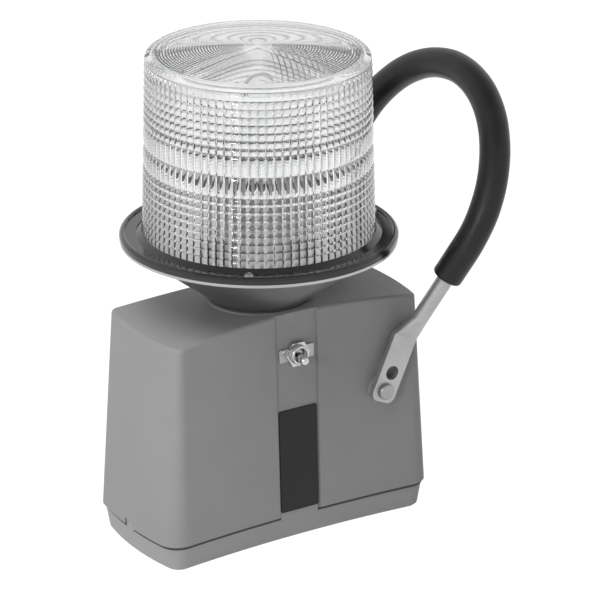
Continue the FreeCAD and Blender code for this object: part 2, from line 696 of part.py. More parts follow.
def make_contact_strips():
    """Two short strips for the corner terminals and one that joins the middle ones."""
    strips = new_body("contact_strips", z=strip_bottom)
    sketch = new_sketch(strips, "XY_Plane", "plan")
    half = sizes.strip_width / 2
    reach = battery_centre + half
    rectangle(sketch, -reach, reach, -half, half)
    for side in (-1, 1):
        inner = (battery_centre - sizes.terminal_offset_x) * side - half
        rectangle(sketch, inner, inner + sizes.strip_width, sizes.terminal_offset_y - half,
                  sizes.board_depth / 2)
    pad(strips, sketch, sizes.strip_thick)


def board_plan(sketch):
    """A board with clipped corners and a notch at the front for the switch."""
    x, y, clip = sizes.board_length / 2, sizes.board_depth / 2, sizes.board_corner
    notch = sizes.notch_width / 2
    run(sketch, [(clip - x, -y), (-notch, -y), (-notch, sizes.notch_depth - y),
                 (notch, sizes.notch_depth - y), (notch, -y), (x - clip, -y), (x, clip - y),
                 (x, y - clip), (x - clip, y), (clip - x, y), (-x, y - clip), (-x, clip - y)])
    for side_x in (-1, 1):
        for side_y in (-1, 1):
            ring(sketch, sizes.post_reach_x * side_x, sizes.post_reach_y * side_y,
                 sizes.board_screw_radius + sizes.screw_fit)


def make_boards():
    for label, height, thick in (
            ("contact_board", contact_board_bottom, sizes.contact_board_thick),
            ("circuit_board", circuit_board_bottom, sizes.circuit_board_thick)):
        board = new_body(label, z=height)
        sketch = new_sketch(board, "XY_Plane", "plan")
        board_plan(sketch)
        pad(board, sketch, thick)


def four_posts(label, corners):
    """A turned piece at each of the four board posts."""
    body = new_body(label)
    sketch = new_sketch(body, "XZ_Plane", "section", x=sizes.post_reach_x, z=sizes.post_reach_y)
    run(sketch, corners)
    feature = turn(body, sketch)
    doc.recompute()
    both = body.newObject("PartDesign::MultiTransform", f"{label}_corners")
    both.Originals = [feature]
    steps = []
    for role in ("XZ_Plane", "YZ_Plane"):
        step = body.newObject("PartDesign::Mirrored", f"{label}_{role}")
        step.MirrorPlane = (plane_of(body, role), [""])
        steps.append(step)
    both.Transformations = steps
    body.Tip = both
    return body


def make_board_fixings():
    four_posts("board_spacers", washer_corners(
        sizes.board_screw_radius + sizes.screw_fit, sizes.spacer_radius, contact_board_top,
        circuit_board_bottom))
    head = contact_board_bottom - sizes.board_screw_head_height
    tip = circuit_board_top + sizes.board_screw_bite
    four_posts("board_screws", [
        (0, head), (sizes.board_screw_head_radius, head),
        (sizes.board_screw_head_radius, contact_board_bottom),
        (sizes.board_screw_radius, contact_board_bottom), (sizes.board_screw_radius, tip), (0, tip)])


def make_capacitor():
    capacitor = doc.addObject("Part::Cylinder", "capacitor")
    tie(capacitor, Radius=sizes.capacitor_radius, Height=sizes.capacitor_length)
    place(capacitor, x=sizes.capacitor_x - sizes.capacitor_length / 2, y=sizes.part_y,
          z=circuit_board_top + sizes.capacitor_radius, tilt=sized(90), axis=Vector(0, 1, 0))


def centred_box(label, length, width, height, x, y, z):
    box = doc.addObject("Part::Box", label)
    tie(box, Length=length, Width=width, Height=height)
    place(box, x=x - length / 2, y=y - width / 2, z=z)
    return box


def make_transformer():
    core = centred_box("transformer_core", sizes.coil_block_length, sizes.coil_block_width,
                       sizes.coil_block_height, sizes.coil_block_x, sizes.part_y, circuit_board_top)
    lift = (sizes.coil_block_height - sizes.winding_height) / 2
    winding = centred_box("transformer_winding", sizes.winding_length, sizes.winding_width,
                          sizes.winding_height, sizes.coil_block_x, sizes.part_y,
                          circuit_board_top + lift)
    joined = doc.addObject("Part::Fuse", "transformer")
    joined.Base = core
    joined.Tool = winding


# Switch
def panel_wall():
    return sizes.shell_wall - sizes.panel_recess + sizes.screw_fit


def make_switch():
    where = on_panel(sizes.switch_height)
    bore = sizes.bushing_radius + sizes.screw_fit

    plate = new_body("switch_plate", **where)
    sketch = new_sketch(plate, "XY_Plane", "face")
    half_x, half_y = sizes.switch_plate_length / 2, sizes.switch_plate_width / 2
    rounded_rectangle(sketch, half_x, half_y, sizes.label_corner)
    ring(sketch, 0, 0, bore)
    pad(plate, sketch, sizes.switch_plate_thick)

    nut = new_body("switch_nut", **where)
    sketch = new_sketch(nut, "XY_Plane", "face", z=sizes.switch_plate_thick)
    hexagon(sketch, sizes.nut_flats)
    ring(sketch, 0, 0, bore)
    pad(nut, sketch, sizes.nut_thick)

    back = -panel_wall()
    bushing = turned_body("switch_bushing", washer_corners(
        sizes.bushing_bore, sizes.bushing_radius, back, sizes.bushing_reach), **where)
    pin_holes = new_sketch(bushing, "XZ_Plane", "pin_holes")
    ring(pin_holes, 0, 0, sizes.switch_pin_radius + sizes.screw_fit)
    pocket(bushing, pin_holes, sizes.bushing_radius * 2 + sizes.overrun, both_ways=True)

    pin = new_body("switch_pin", **where)
    sketch = new_sketch(pin, "XZ_Plane", "section")
    ring(sketch, 0, 0, sizes.switch_pin_radius)
    pad(pin, sketch, sizes.switch_pin_length, both_ways=True)

    case = new_body("switch_body", **where)
    sketch = new_sketch(case, "XY_Plane", "plan", z=back - sizes.switch_case_depth)
    rectangle(sketch, -(sizes.switch_case_length / 2), sizes.switch_case_length / 2,
              -(sizes.switch_case_width / 2), sizes.switch_case_width / 2)
    pad(case, sketch, sizes.switch_case_depth)
    socket = new_sketch(case, "XY_Plane", "socket", z=back)
    ring(socket, 0, 0, sizes.bushing_bore)
    pocket(case, socket, sizes.lever_ball_radius, towards=-1)

    lugs = new_body("switch_terminals", **where)
    sketch = new_sketch(lugs, "XY_Plane", "plan", z=back - sizes.switch_case_depth - sizes.lug_length)
    for side in (-1, 1):
        middle = sizes.lug_spread * side
        rectangle(sketch, middle - sizes.lug_width / 2, middle + sizes.lug_width / 2,
                  -(sizes.lug_thick / 2), sizes.lug_thick / 2)
    pad(lugs, sketch, sizes.lug_length)


def make_switch_lever():
    """A bat lever: a ball bored for its pin, a neck and a thicker rounded tip, tilted at rest."""
    where = on_panel(sizes.switch_height)
    lever = new_body("switch_lever", **where)
    sketch = new_sketch(lever, "XZ_Plane", "section")
    ball, neck, tip = sizes.lever_ball_radius, sizes.lever_neck_radius, sizes.lever_tip_radius
    join = root(ball * ball - neck * neck)
    shoulder = sizes.lever_length - tip
    run(sketch, [(0, -ball), (neck, join, ball), (tip, shoulder), (0, sizes.lever_length, tip)])
    turn(lever, sketch)
    bore = new_sketch(lever, "XZ_Plane", "bore")
    ring(bore, 0, 0, sizes.switch_pin_radius + sizes.switch_pin_play)
    pocket(lever, bore, ball * 2 + sizes.overrun, both_ways=True)
    doc.recompute()
    tilted = lever.Placement.multiply(
        FreeCAD.Placement(Vector(), FreeCAD.Rotation(Vector(0, 1, 0), -sizes.lever_tilt.value)))
    lever.setExpression("Placement.Rotation.Angle", None)
    lever.Placement = tilted


def make_switch_leads():
    """Two short wires from the switch's lugs to the underside of the circuit board."""
    reach = panel_reach_at(sizes.switch_height) - panel_wall() - sizes.switch_case_depth - sizes.lug_length
    rise = circuit_board_bottom - sizes.switch_height
    leads = new_body("switch_leads", y=-reach + sizes.screw_fit, z=sizes.switch_height)
    path = new_sketch(leads, "YZ_Plane", "path", z=sizes.lug_spread)
    far = sizes.wire_run + sizes.wire_bend
    run(path, [(0, 0), (sizes.wire_run, 0), (far, sizes.wire_bend, sizes.wire_bend), (far, rise)],
        closed=False)
    section = new_sketch(leads, "XZ_Plane", "section")
    ring(section, sizes.lug_spread, 0, sizes.wire_radius)
    wire = pipe(leads, section, path, 3)
    mirror(leads, [wire], "YZ_Plane")


# Lamp head
def make_collar():
    """A spun bowl: a flat floor, an S-shaped wall and a flat rim that carries the lens."""
    floor, wall = sizes.collar_floor, sizes.collar_wall
    rim_low = sizes.collar_height - sizes.collar_rim_thick
    waist = (sizes.collar_waist_radius, sizes.collar_waist_height)
    swell = (sizes.collar_swell_radius, sizes.collar_swell_height)
    mouth = (sizes.collar_mouth_radius, rim_low)
    corners = [
        (sizes.collar_bore, 0), (sizes.collar_foot_radius, 0), waist, swell, mouth,
        (sizes.collar_rim_radius, rim_low), (sizes.collar_rim_radius, sizes.collar_height),
        (sizes.lens_seat_radius, sizes.collar_height), (sizes.lens_seat_radius, rim_low),
        (mouth[0] - wall * 3, rim_low), (swell[0] - wall, swell[1] + wall / 2),
        (waist[0] - wall, waist[1] + wall / 2), (sizes.collar_foot_radius - wall, floor),
        (sizes.collar_bore, floor)]
    collar = turned_body("collar", corners, **lamp_axis(z=collar_foot))
    holes = new_sketch(collar, "XY_Plane", "foot_holes")
    for number in range(COLLAR_SCREWS):
        turned = sized(360 * (number + 0.5) / COLLAR_SCREWS)
        ring(holes, sizes.collar_screw_circle * cosine(turned), sizes.collar_screw_circle * sine(turned),
             sizes.collar_screw_radius + sizes.screw_fit)
    pocket(collar, holes, sizes.overrun)
    rim_holes = new_sketch(collar, "XY_Plane", "rim_holes", z=sizes.collar_height - sizes.overrun)
    for number in range(RING_SCREWS):
        turned = sizes.ring_screw_angle + 360 * number / RING_SCREWS
        ring(rim_holes, sizes.ring_screw_circle * cosine(turned), sizes.ring_screw_circle * sine(turned),
             sizes.ring_screw_radius + sizes.screw_fit)
    pocket(collar, rim_holes, sizes.overrun * 2)


def round_screws(label, count, circle, first_angle, radius, reach, head_radius, head_height, height):
    """Domed screws on a circle round the lamp's axis; the head sits on height."""
    screws = new_body(label, **lamp_axis(z=height, tilt=first_angle, axis=Vector(0, 0, 1)))
    sketch = new_sketch(screws, "XZ_Plane", "section", x=circle)
    run(sketch, [(0, -reach), (radius, -reach), (radius, 0), (head_radius, 0),
                 (0, head_height, arc_radius(head_radius, head_height))])
    repeat_round(screws, [turn(screws, sketch)], count)


def make_collar_fixings():
    turned_body("collar_gasket", washer_corners(
        sizes.lead_hole_radius, sizes.collar_foot_radius, sized(0), sizes.gasket_thick),
        **lamp_axis(z=seat_top))
    gasket = next(one for one in doc.Objects if one.Label == "collar_gasket")
    holes = new_sketch(gasket, "XY_Plane", "holes")
    for number in range(COLLAR_SCREWS):
        turned = sized(360 * (number + 0.5) / COLLAR_SCREWS)
        ring(holes, sizes.collar_screw_circle * cosine(turned), sizes.collar_screw_circle * sine(turned),
             sizes.collar_screw_radius + sizes.screw_fit)
    pocket(gasket, holes, sizes.overrun)
    round_screws("collar_screws", COLLAR_SCREWS, sizes.collar_screw_circle,
                 sized(180 / COLLAR_SCREWS), sizes.collar_screw_radius, sizes.collar_screw_reach,
                 sizes.collar_screw_head_radius, sizes.collar_screw_head_height,
                 collar_foot + sizes.collar_floor)


def make_mount_plate():
    turned_body("mount_plate", washer_corners(
        sizes.lead_hole_radius, sizes.mount_plate_radius, sized(0), sizes.mount_plate_thick),
        **lamp_axis(z=collar_top))


def make_lens_gasket():
    turned_body("lens_gasket", washer_corners(
        sizes.mount_plate_radius + sizes.fit_gap, sizes.lens_lip_radius, sized(0), sizes.gasket_thick),
        **lamp_axis(z=collar_top))


def make_flange():
    """The black ring that clamps the lens: a dished top with a bead near its edge."""
    lens_side = sizes.lens_foot_radius + sizes.fit_gap
    lip_room = sizes.gasket_thick + sizes.lens_lip_thick + sizes.screw_fit
    bead_out = sizes.bead_radius + sizes.bead_width / 2
    bead_in = sizes.bead_radius - sizes.bead_width / 2
    bead = arc_radius(sizes.bead_width / 2, sizes.bead_rise)
    flange = turned_body("flange", [
        (sizes.lens_lip_radius + sizes.fit_gap, 0), (sizes.flange_radius, 0),
        (sizes.flange_radius, sizes.flange_edge), (bead_out, sizes.flange_valley),
        (bead_in, sizes.flange_valley, bead), (sizes.flange_step_radius, sizes.flange_valley),
        (lens_side, sizes.flange_top), (lens_side, lip_room),
        (sizes.lens_lip_radius + sizes.fit_gap, lip_room)], **lamp_axis(z=collar_top))
    holes = new_sketch(flange, "XY_Plane", "holes")
    for number in range(RING_SCREWS):
        turned = sizes.ring_screw_angle + 360 * number / RING_SCREWS
        ring(holes, sizes.ring_screw_circle * cosine(turned), sizes.ring_screw_circle * sine(turned),
             sizes.ring_screw_radius + sizes.screw_fit)
    pocket(flange, holes, sizes.overrun * 2)


def make_flange_screws():
    round_screws("flange_screws", RING_SCREWS, sizes.ring_screw_circle, sizes.ring_screw_angle,
                 sizes.ring_screw_radius, sizes.ring_screw_reach, sizes.ring_screw_head_radius,
                 sizes.ring_screw_head_height, collar_top + sizes.flange_valley + sizes.screw_fit)


def lens_radius_at(height):
    fall = (sizes.lens_foot_radius - sizes.lens_top_radius) / sizes.lens_height
    return sizes.lens_foot_radius - fall * height


def lens_profile():
    """The lens from its lip up: prism rings, three plain bands between ridges, prism rings, dome."""
    height = sizes.lower_rings_start
    corners = [(0, 0), (sizes.lens_lip_radius, 0), (sizes.lens_lip_radius, sizes.lens_lip_thick),
               (lens_radius_at(height), sizes.lens_lip_thick), (lens_radius_at(height), height)]

    def teeth(count, pitch, start):
        for number in range(count):
            foot = start + pitch * number
            peak = foot + pitch * TOOTH_PEAK_SHARE
            corners.append((lens_radius_at(foot) - sizes.ring_depth, foot))
            corners.append((lens_radius_at(peak), peak))
        return start + pitch * count

    height = teeth(LOWER_RINGS, sizes.lower_ring_pitch, height)
    for number in range(BANDS):
        foot, top = height + sizes.band_ridge / 2, height + sizes.band_height - sizes.band_ridge / 2
        corners.append((lens_radius_at(height), height))
        corners.append((lens_radius_at(foot) - sizes.band_depth, foot))
        corners.append((lens_radius_at(top) - sizes.band_depth, top))
        height = height + sizes.band_height
    corners.append((lens_radius_at(height), height))
    height = teeth(UPPER_RINGS, sizes.upper_ring_pitch, height + sizes.band_ridge / 2)
    corners.append((lens_radius_at(height), height))
    shoulder = sizes.lens_height - sizes.lens_edge_round
    corners.append((sizes.lens_top_radius, shoulder))
    rim = sizes.lens_top_radius - sizes.lens_edge_round
    corners.append((rim, sizes.lens_height, sizes.lens_edge_round))
    corners.append((0, sizes.lens_height + sizes.lens_dome_rise, arc_radius(rim, sizes.lens_dome_rise)))
    return corners


def fluted_loop(radius, height):
    """A many-pointed closed loop: a flute is one valley between two points."""
    points = []
    for number in range(2 * FLUTES):
        turned = math.pi * number / FLUTES
        reach = radius + (sizes.flute_depth.value if number % 2 else 0)
        points.append(Vector(reach * math.cos(turned), reach * math.sin(turned), height))
    return Part.makePolygon(points + points[:1])


def make_lens():
    """Turned outside, fluted inside: the hollow is a tapering core with upright flutes."""
    blank = turned_body("lens_blank", lens_profile(), **lamp_axis(z=lens_foot))
    hollow = doc.addObject("Part::Feature", "lens_core")
    wall = sizes.lens_wall.value + sizes.ring_depth.value + sizes.flute_depth.value
    loops = []
    for height in (-sizes.overrun, sizes.lens_height - sizes.lens_edge_round):
        loops.append(fluted_loop(lens_radius_at(height).value - wall, height.value))
    hollow.Shape = Part.makeLoft(loops, True, True)
    hollow.Placement = FreeCAD.Placement(
        Vector(-sizes.lamp_offset.value, 0, lens_foot.value), FreeCAD.Rotation())
    lens = doc.addObject("Part::Cut", "lens")
    lens.Base = blank
    lens.Tool = hollow


def make_flash_tube():
    foot = socket_foot
    turned_body("tube_base", [
        (0, 0), (sizes.socket_radius, 0), (sizes.socket_radius, sizes.socket_height - sizes.socket_step),
        (sizes.socket_step_radius, sizes.socket_height), (0, sizes.socket_height)],
        **lamp_axis(z=foot))
    top = foot + sizes.socket_height
    caps = new_body("tube_caps", **lamp_axis(z=top))
    sketch = new_sketch(caps, "XY_Plane", "plan")
    for side in (-1, 1):
        ring(sketch, sizes.tube_spread * side, 0, sizes.cap_radius)
    pad(caps, sketch, sizes.cap_height)

    tube = new_body("flash_tube", **lamp_axis(z=top + sizes.cap_height))
    path = new_sketch(tube, "XZ_Plane", "path")
    run(path, [(sizes.tube_spread, 0), (sizes.tube_spread, sizes.tube_leg),
               (0, sizes.tube_leg + sizes.tube_spread, sizes.tube_spread),
               (-sizes.tube_spread, sizes.tube_leg, sizes.tube_spread), (-sizes.tube_spread, 0)],
        closed=False)
    section = new_sketch(tube, "XY_Plane", "section")
    ring(section, sizes.tube_spread, 0, sizes.tube_radius)
    pipe(tube, section, path, 4)

    turned_body("trigger_coil", [
        (0, 0), (sizes.trigger_radius, 0), (sizes.trigger_radius, sizes.trigger_height),
        (0, sizes.trigger_height)], x=sizes.trigger_x - sizes.lamp_offset, z=foot)


def make_lamp_leads():
    leads = new_body("lamp_leads", **lamp_axis(z=circuit_board_top))
    sketch = new_sketch(leads, "XY_Plane", "plan")
    for number in range(LAMP_LEADS):
        turned = sized(360 * number / LAMP_LEADS)
        ring(sketch, sizes.lead_spread * cosine(turned), sizes.lead_spread * sine(turned), sizes.lead_radius)
    pad(leads, sketch, socket_foot - circuit_board_top)


# Bail
def bail_place():
    return dict(x=sizes.pivot_x, z=sizes.pivot_z, tilt=sizes.bail_lean, axis=Vector(0, 1, 0))


def loop_tangent():
    """Where a straight arm meets the round loop: across, along."""
    return (sizes.loop_radius * cosine(sizes.arm_splay),
            sizes.loop_centre - sizes.loop_radius * sine(sizes.arm_splay))


def arm_across_at(along):
    across, meet = loop_tangent()
    return across - (meet - along) * sine(sizes.arm_splay) / cosine(sizes.arm_splay)


def square_to_arm(body, name, along):
    """A sketch across the left arm, at a distance along the bail."""
    return new_sketch(body, "XY_Plane", name, y=-arm_across_at(along), z=along, tilt=sizes.arm_splay)


def make_bail_frame():
    """Half of the bail, tang, crimp and tube, mirrored; then the holes through both tangs."""
    bail = new_body("bail_frame", **bail_place())
    inner = sizes.tang_reach - sizes.tang_thick / 2
    tang = new_sketch(bail, "XZ_Plane", "tang", z=inner)
    half, foot, corner, top = sizes.tang_width / 2, -sizes.tang_foot, sizes.tang_corner, sizes.tang_length
    run(tang, [(corner - half, foot, corner), (half - corner, foot), (half, foot + corner, corner),
               (half, top), (-half, top), (-half, foot + corner)])
    tang_pad = pad(bail, tang, sizes.tang_thick)

    crimp_foot = new_sketch(bail, "XY_Plane", "crimp_foot", z=top)
    outer = inner + sizes.tang_thick
    run(crimp_foot, [(half, -inner), (-half, -inner), (-half, -outer), (half, -outer)])
    along = top + sizes.crimp_length
    crimp_head = square_to_arm(bail, "crimp_head", along)
    spot = sizes.bail_radius * root(sized(2)) / 2
    run(crimp_head, [(spot, spot, sizes.bail_radius), (-spot, spot, sizes.bail_radius),
                     (-spot, -spot, sizes.bail_radius), (spot, -spot, sizes.bail_radius)])
    crimp = loft(bail, crimp_foot, crimp_head)

    path = new_sketch(bail, "YZ_Plane", "path")
    across, meet = loop_tangent()
    run(path, [(-arm_across_at(along), along), (-across, meet),
               (0, sizes.loop_centre + sizes.loop_radius, -sizes.loop_radius)], closed=False)
    section = square_to_arm(bail, "section", along)
    ring(section, 0, 0, sizes.bail_radius)
    tube = pipe(bail, section, path, 2)
    mirror(bail, [tang_pad, crimp, tube], "XZ_Plane")

    holes = new_sketch(bail, "XZ_Plane", "holes")
    ring(holes, 0, 0, sizes.pivot_screw_radius + sizes.pivot_fit)
    ring(holes, 0, sizes.spare_hole_height, sizes.spare_hole_radius)
    pocket(bail, holes, sizes.tang_reach * 4, both_ways=True)


def make_bail_grip():
    """A foam sleeve over the loop and a little of each arm."""
    grip = new_body("bail_grip", **bail_place())
    across, meet = loop_tangent()
    start = meet - sizes.grip_run * cosine(sizes.arm_splay)
    path = new_sketch(grip, "YZ_Plane", "path")
    run(path, [(-arm_across_at(start), start), (-across, meet),
               (0, sizes.loop_centre + sizes.loop_radius, -sizes.loop_radius)], closed=False)
    outer = square_to_arm(grip, "outer", start)
    ring(outer, 0, 0, sizes.grip_radius)
    ring(outer, 0, 0, sizes.bail_radius + sizes.grip_gap)
    half = pipe(grip, outer, path, 2)
    mirror(grip, [half], "XZ_Plane")


def make_pivots():
    """The screw, washer and nut on each side of the housing, all on the bail's axis."""
    tang_face = sizes.tang_reach + sizes.tang_thick / 2
    seat = tang_face + sizes.pivot_gap
    head = seat + sizes.pivot_head_height
    shank, nut_end = sizes.pivot_screw_radius, sizes.boss_inner - sizes.pivot_nut_thick
    screws = new_body("pivot_screws", x=sizes.pivot_x, z=sizes.pivot_z)
    sketch = new_sketch(screws, "XY_Plane", "section")
    curve = sizes.pivot_head_round
    run(sketch, [(0, -nut_end), (shank, -nut_end), (shank, -seat), (sizes.pivot_head_radius, -seat),
                 (sizes.pivot_head_radius, curve - head),
                 (sizes.pivot_head_radius - curve, -head, -curve), (0, -head)])
    mirror(screws, [turn(screws, sketch)], "XZ_Plane")

    washers = new_body("pivot_washers", x=sizes.pivot_x, z=sizes.pivot_z)
    sketch = new_sketch(washers, "XZ_Plane", "plan", z=sizes.boss_face)
    ring(sketch, 0, 0, sizes.washer_radius)
    ring(sketch, 0, 0, shank + sizes.pivot_fit)
    mirror(washers, [pad(washers, sketch, sizes.washer_thick)], "XZ_Plane")

    nuts = new_body("pivot_nuts", x=sizes.pivot_x, z=sizes.pivot_z)
    sketch = new_sketch(nuts, "XZ_Plane", "plan", z=nut_end)
    hexagon(sketch, sizes.pivot_nut_flats)
    ring(sketch, 0, 0, shank + sizes.screw_fit)
    mirror(nuts, [pad(nuts, sketch, sizes.pivot_nut_thick)], "XZ_Plane")


MAKERS = [
    make_body_shell, make_base_cover, make_base_gasket, make_name_plate, make_batteries,
    make_terminal_springs, make_contact_strips, make_boards, make_board_fixings, make_capacitor,
    make_transformer, make_switch, make_switch_lever, make_switch_leads, make_collar,
    make_collar_fixings, make_mount_plate, make_lens_gasket, make_flange, make_flange_screws,
    make_lens, make_flash_tube, make_lamp_leads, make_bail_frame, make_bail_grip, make_pivots,
]

NODES = [
    "body_shell", "base_cover", "base_gasket", "name_plate", "battery_left", "battery_right",
    "terminal_springs", "contact_strips", "contact_board", "circuit_board", "board_spacers",
    "board_screws", "capacitor", "transformer", "switch_plate", "switch_nut", "switch_bushing",
    "switch_body", "switch_terminals", "switch_pin", "switch_lever", "switch_leads", "collar",
    "collar_gasket", "collar_screws", "mount_plate", "lens_gasket", "flange", "flange_screws",
    "lens", "tube_base", "tube_caps", "flash_tube", "trigger_coil", "lamp_leads", "bail_frame",
    "bail_grip", "pivot_screws", "pivot_washers", "pivot_nuts",
]

for make in MAKERS:
    make()
doc.recompute()

faults = [thing.Label for thing in doc.Objects if {"Invalid", "Error"} & set(thing.State)]
named = {thing.Label: thing for thing in doc.Objects}
for node in NODES:
    shape = named[node].Shape
    if shape.isNull() or not shape.isValid() or not shape.Solids:
        faults.append(node)
if faults:
    raise RuntimeError("not built: " + ", ".join(faults))

os.makedirs("parts", exist_ok=True)
for node in NODES:
    shape = named[node].Shape
    shape.exportStep(f"parts/{node}.step")
    box = shape.BoundBox
    print(f"{node:18s} solids {len(shape.Solids)}  volume {shape.Volume:10.1f}"
          f"  z {box.ZMin:7.2f} to {box.ZMax:7.2f}")
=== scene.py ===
import json
import math

import bmesh
import bpy
from mathutils import Matrix, Vector, noise


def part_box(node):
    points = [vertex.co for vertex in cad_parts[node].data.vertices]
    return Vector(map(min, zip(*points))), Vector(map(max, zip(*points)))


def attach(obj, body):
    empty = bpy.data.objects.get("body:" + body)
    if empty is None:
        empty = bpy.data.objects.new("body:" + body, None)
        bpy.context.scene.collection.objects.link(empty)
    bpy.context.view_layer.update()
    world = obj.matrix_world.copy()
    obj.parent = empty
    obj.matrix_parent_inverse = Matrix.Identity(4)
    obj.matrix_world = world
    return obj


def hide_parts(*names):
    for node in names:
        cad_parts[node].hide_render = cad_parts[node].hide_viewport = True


# The looks of a portable xenon strobe lamp. Metres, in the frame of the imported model.
# The lamp's own axis is upright; the case's long side faces -Y and the bail is on the +X end.

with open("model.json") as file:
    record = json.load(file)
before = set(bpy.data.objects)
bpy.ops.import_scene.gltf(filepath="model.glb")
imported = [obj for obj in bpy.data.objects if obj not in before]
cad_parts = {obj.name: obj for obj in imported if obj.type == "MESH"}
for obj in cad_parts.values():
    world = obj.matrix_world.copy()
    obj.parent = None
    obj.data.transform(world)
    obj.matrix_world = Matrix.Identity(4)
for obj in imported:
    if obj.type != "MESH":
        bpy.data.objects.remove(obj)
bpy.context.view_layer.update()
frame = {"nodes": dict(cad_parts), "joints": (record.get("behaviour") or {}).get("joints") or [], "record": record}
nodes = frame["nodes"]

MM = 0.001
MERGE = 0.001 * MM      # corners nearer than this are one corner

# The photograph's view
IMAGE_PIXELS = 600
FOCAL_PIXELS = 3235.8
SENSOR_MM = 36.0
CAMERA_PLACE = Vector((-0.9493, -1.5137, 0.8480))
CAMERA_AZIMUTH = 32.78
CAMERA_ELEVATION = 21.61

# Places that the frame gives
lens_low, lens_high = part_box("lens")
socket_low, socket_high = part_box("tube_base")
LAMP_X = (socket_low[0] + socket_high[0]) / 2
LENS_FOOT = lens_low[2]
LENS_TOP = lens_high[2]
joints = {joint["name"]: joint for joint in frame["joints"]}
PIVOT = Vector(joints["bail_swing"]["pos_m"])
SWITCH_PLACE = Vector(joints["switch_toggle"]["pos_m"])
SWITCH_AXIS = Vector(joints["switch_toggle"]["axis"])


# Node trees
def socket_of(node, name):
    return node.inputs[name.replace("_", " ")]


def add(tree, kind, settings=None, **inputs):
    """A node with its settings and inputs; an input may be another node's output."""
    node = tree.nodes.new(kind)
    for name, value in (settings or {}).items():
        setattr(node, name, value)
    for name, value in inputs.items():
        feed(tree, socket_of(node, name), value)
    return node


def feed(tree, socket, value):
    if isinstance(value, bpy.types.NodeSocket):
        tree.links.new(value, socket)
    else:
        socket.default_value = value


def calculate(tree, operation, *values):
    node = tree.nodes.new("ShaderNodeMath")
    node.operation = operation
    for socket, value in zip(node.inputs, values):
        feed(tree, socket, value)
    return node.outputs[0]


def blend_colours(tree, factor, first, second):
    node = tree.nodes.new("ShaderNodeMix")
    node.data_type = "RGBA"
    feed(tree, node.inputs["Factor"], factor)
    feed(tree, node.inputs[6], first)
    feed(tree, node.inputs[7], second)
    return node.outputs[2]


def remap(tree, value, low, high, to_low, to_high):
    node = add(tree, "ShaderNodeMapRange", Value=value)
    for name, number in (("From Min", low), ("From Max", high), ("To Min", to_low), ("To Max", to_high)):
        node.inputs[name].default_value = number
    return node.outputs[0]


def new_group(name, inputs, outputs):
    tree = bpy.data.node_groups.new(name, "ShaderNodeTree")
    for socket, default in inputs:
        made = tree.interface.new_socket(socket, in_out="INPUT", socket_type="NodeSocketFloat")
        made.default_value = default
    for socket in outputs:
        tree.interface.new_socket(socket, in_out="OUTPUT", socket_type="NodeSocketFloat")
    return tree, tree.nodes.new("NodeGroupInput"), tree.nodes.new("NodeGroupOutput")


FINE_DETAIL, FINE_ROUGHNESS = 3.0, 0.6
SLOW_DETAIL, SLOW_ROUGHNESS = 4.0, 0.55
SLOW_LOW, SLOW_HIGH = 0.3, 0.7      # the span that the noise mostly keeps to
BAND_SCALE, LINE_DETAIL, LINE_ROUGHNESS = 90.0, 2.0, 0.6


def make_grain_group():
    """Fine pores and a slow change of tone, both from noise in the piece's own coordinates."""
    tree, given, result = new_group(
        "surface_grain", [("Grain Scale", 1500.0), ("Mottle Scale", 18.0)], ["Grain", "Mottle"])
    place = add(tree, "ShaderNodeTexCoord").outputs["Object"]
    fine = add(tree, "ShaderNodeTexNoise", Vector=place, Scale=given.outputs["Grain Scale"],
               Detail=FINE_DETAIL, Roughness=FINE_ROUGHNESS)
    slow = add(tree, "ShaderNodeTexNoise", Vector=place, Scale=given.outputs["Mottle Scale"],
               Detail=SLOW_DETAIL, Roughness=SLOW_ROUGHNESS)
    tree.links.new(fine.outputs[0], result.inputs["Grain"])
    tree.links.new(remap(tree, slow.outputs[0], SLOW_LOW, SLOW_HIGH, 0.0, 1.0), result.inputs["Mottle"])
    return tree


def make_turned_group():
    """Fine rings round the lamp's axis, as turning or spinning leaves them."""
    tree, given, result = new_group("turned_lines", [("Line Scale", 2200.0)], ["Line", "Band"])
    place = add(tree, "ShaderNodeTexCoord").outputs["Object"]
    parts = add(tree, "ShaderNodeSeparateXYZ", Vector=place)
    across = calculate(tree, "SUBTRACT", parts.outputs[0], LAMP_X)
    squares = calculate(tree, "ADD", calculate(tree, "POWER", across, 2.0),
                        calculate(tree, "POWER", parts.outputs[1], 2.0))
    radius = calculate(tree, "SQRT", squares)
    along = calculate(tree, "ADD", radius, parts.outputs[2])
    for scale, name in ((given.outputs["Line Scale"], "Line"), (BAND_SCALE, "Band")):
        lines = add(tree, "ShaderNodeTexNoise", {"noise_dimensions": "1D"}, W=along, Scale=scale,
                    Detail=LINE_DETAIL, Roughness=LINE_ROUGHNESS)
        tree.links.new(lines.outputs[0], result.inputs[name])
    return tree


GRAIN = make_grain_group()
TURNED = make_turned_group()


def new_material(name):
    material = bpy.data.materials.new(name)
    material.use_nodes = True
    tree = material.node_tree
    tree.nodes.clear()
    shader = tree.nodes.new("ShaderNodeBsdfPrincipled")
    output = tree.nodes.new("ShaderNodeOutputMaterial")
    tree.links.new(shader.outputs[0], output.inputs["Surface"])
    return material, tree, shader


def grey(level, alpha=1.0):
    return (level, level, level, alpha)


TONE_SHARE, HEIGHT_SHARE = 0.7, 0.3     # how far the slow tone and the grain colour a surface


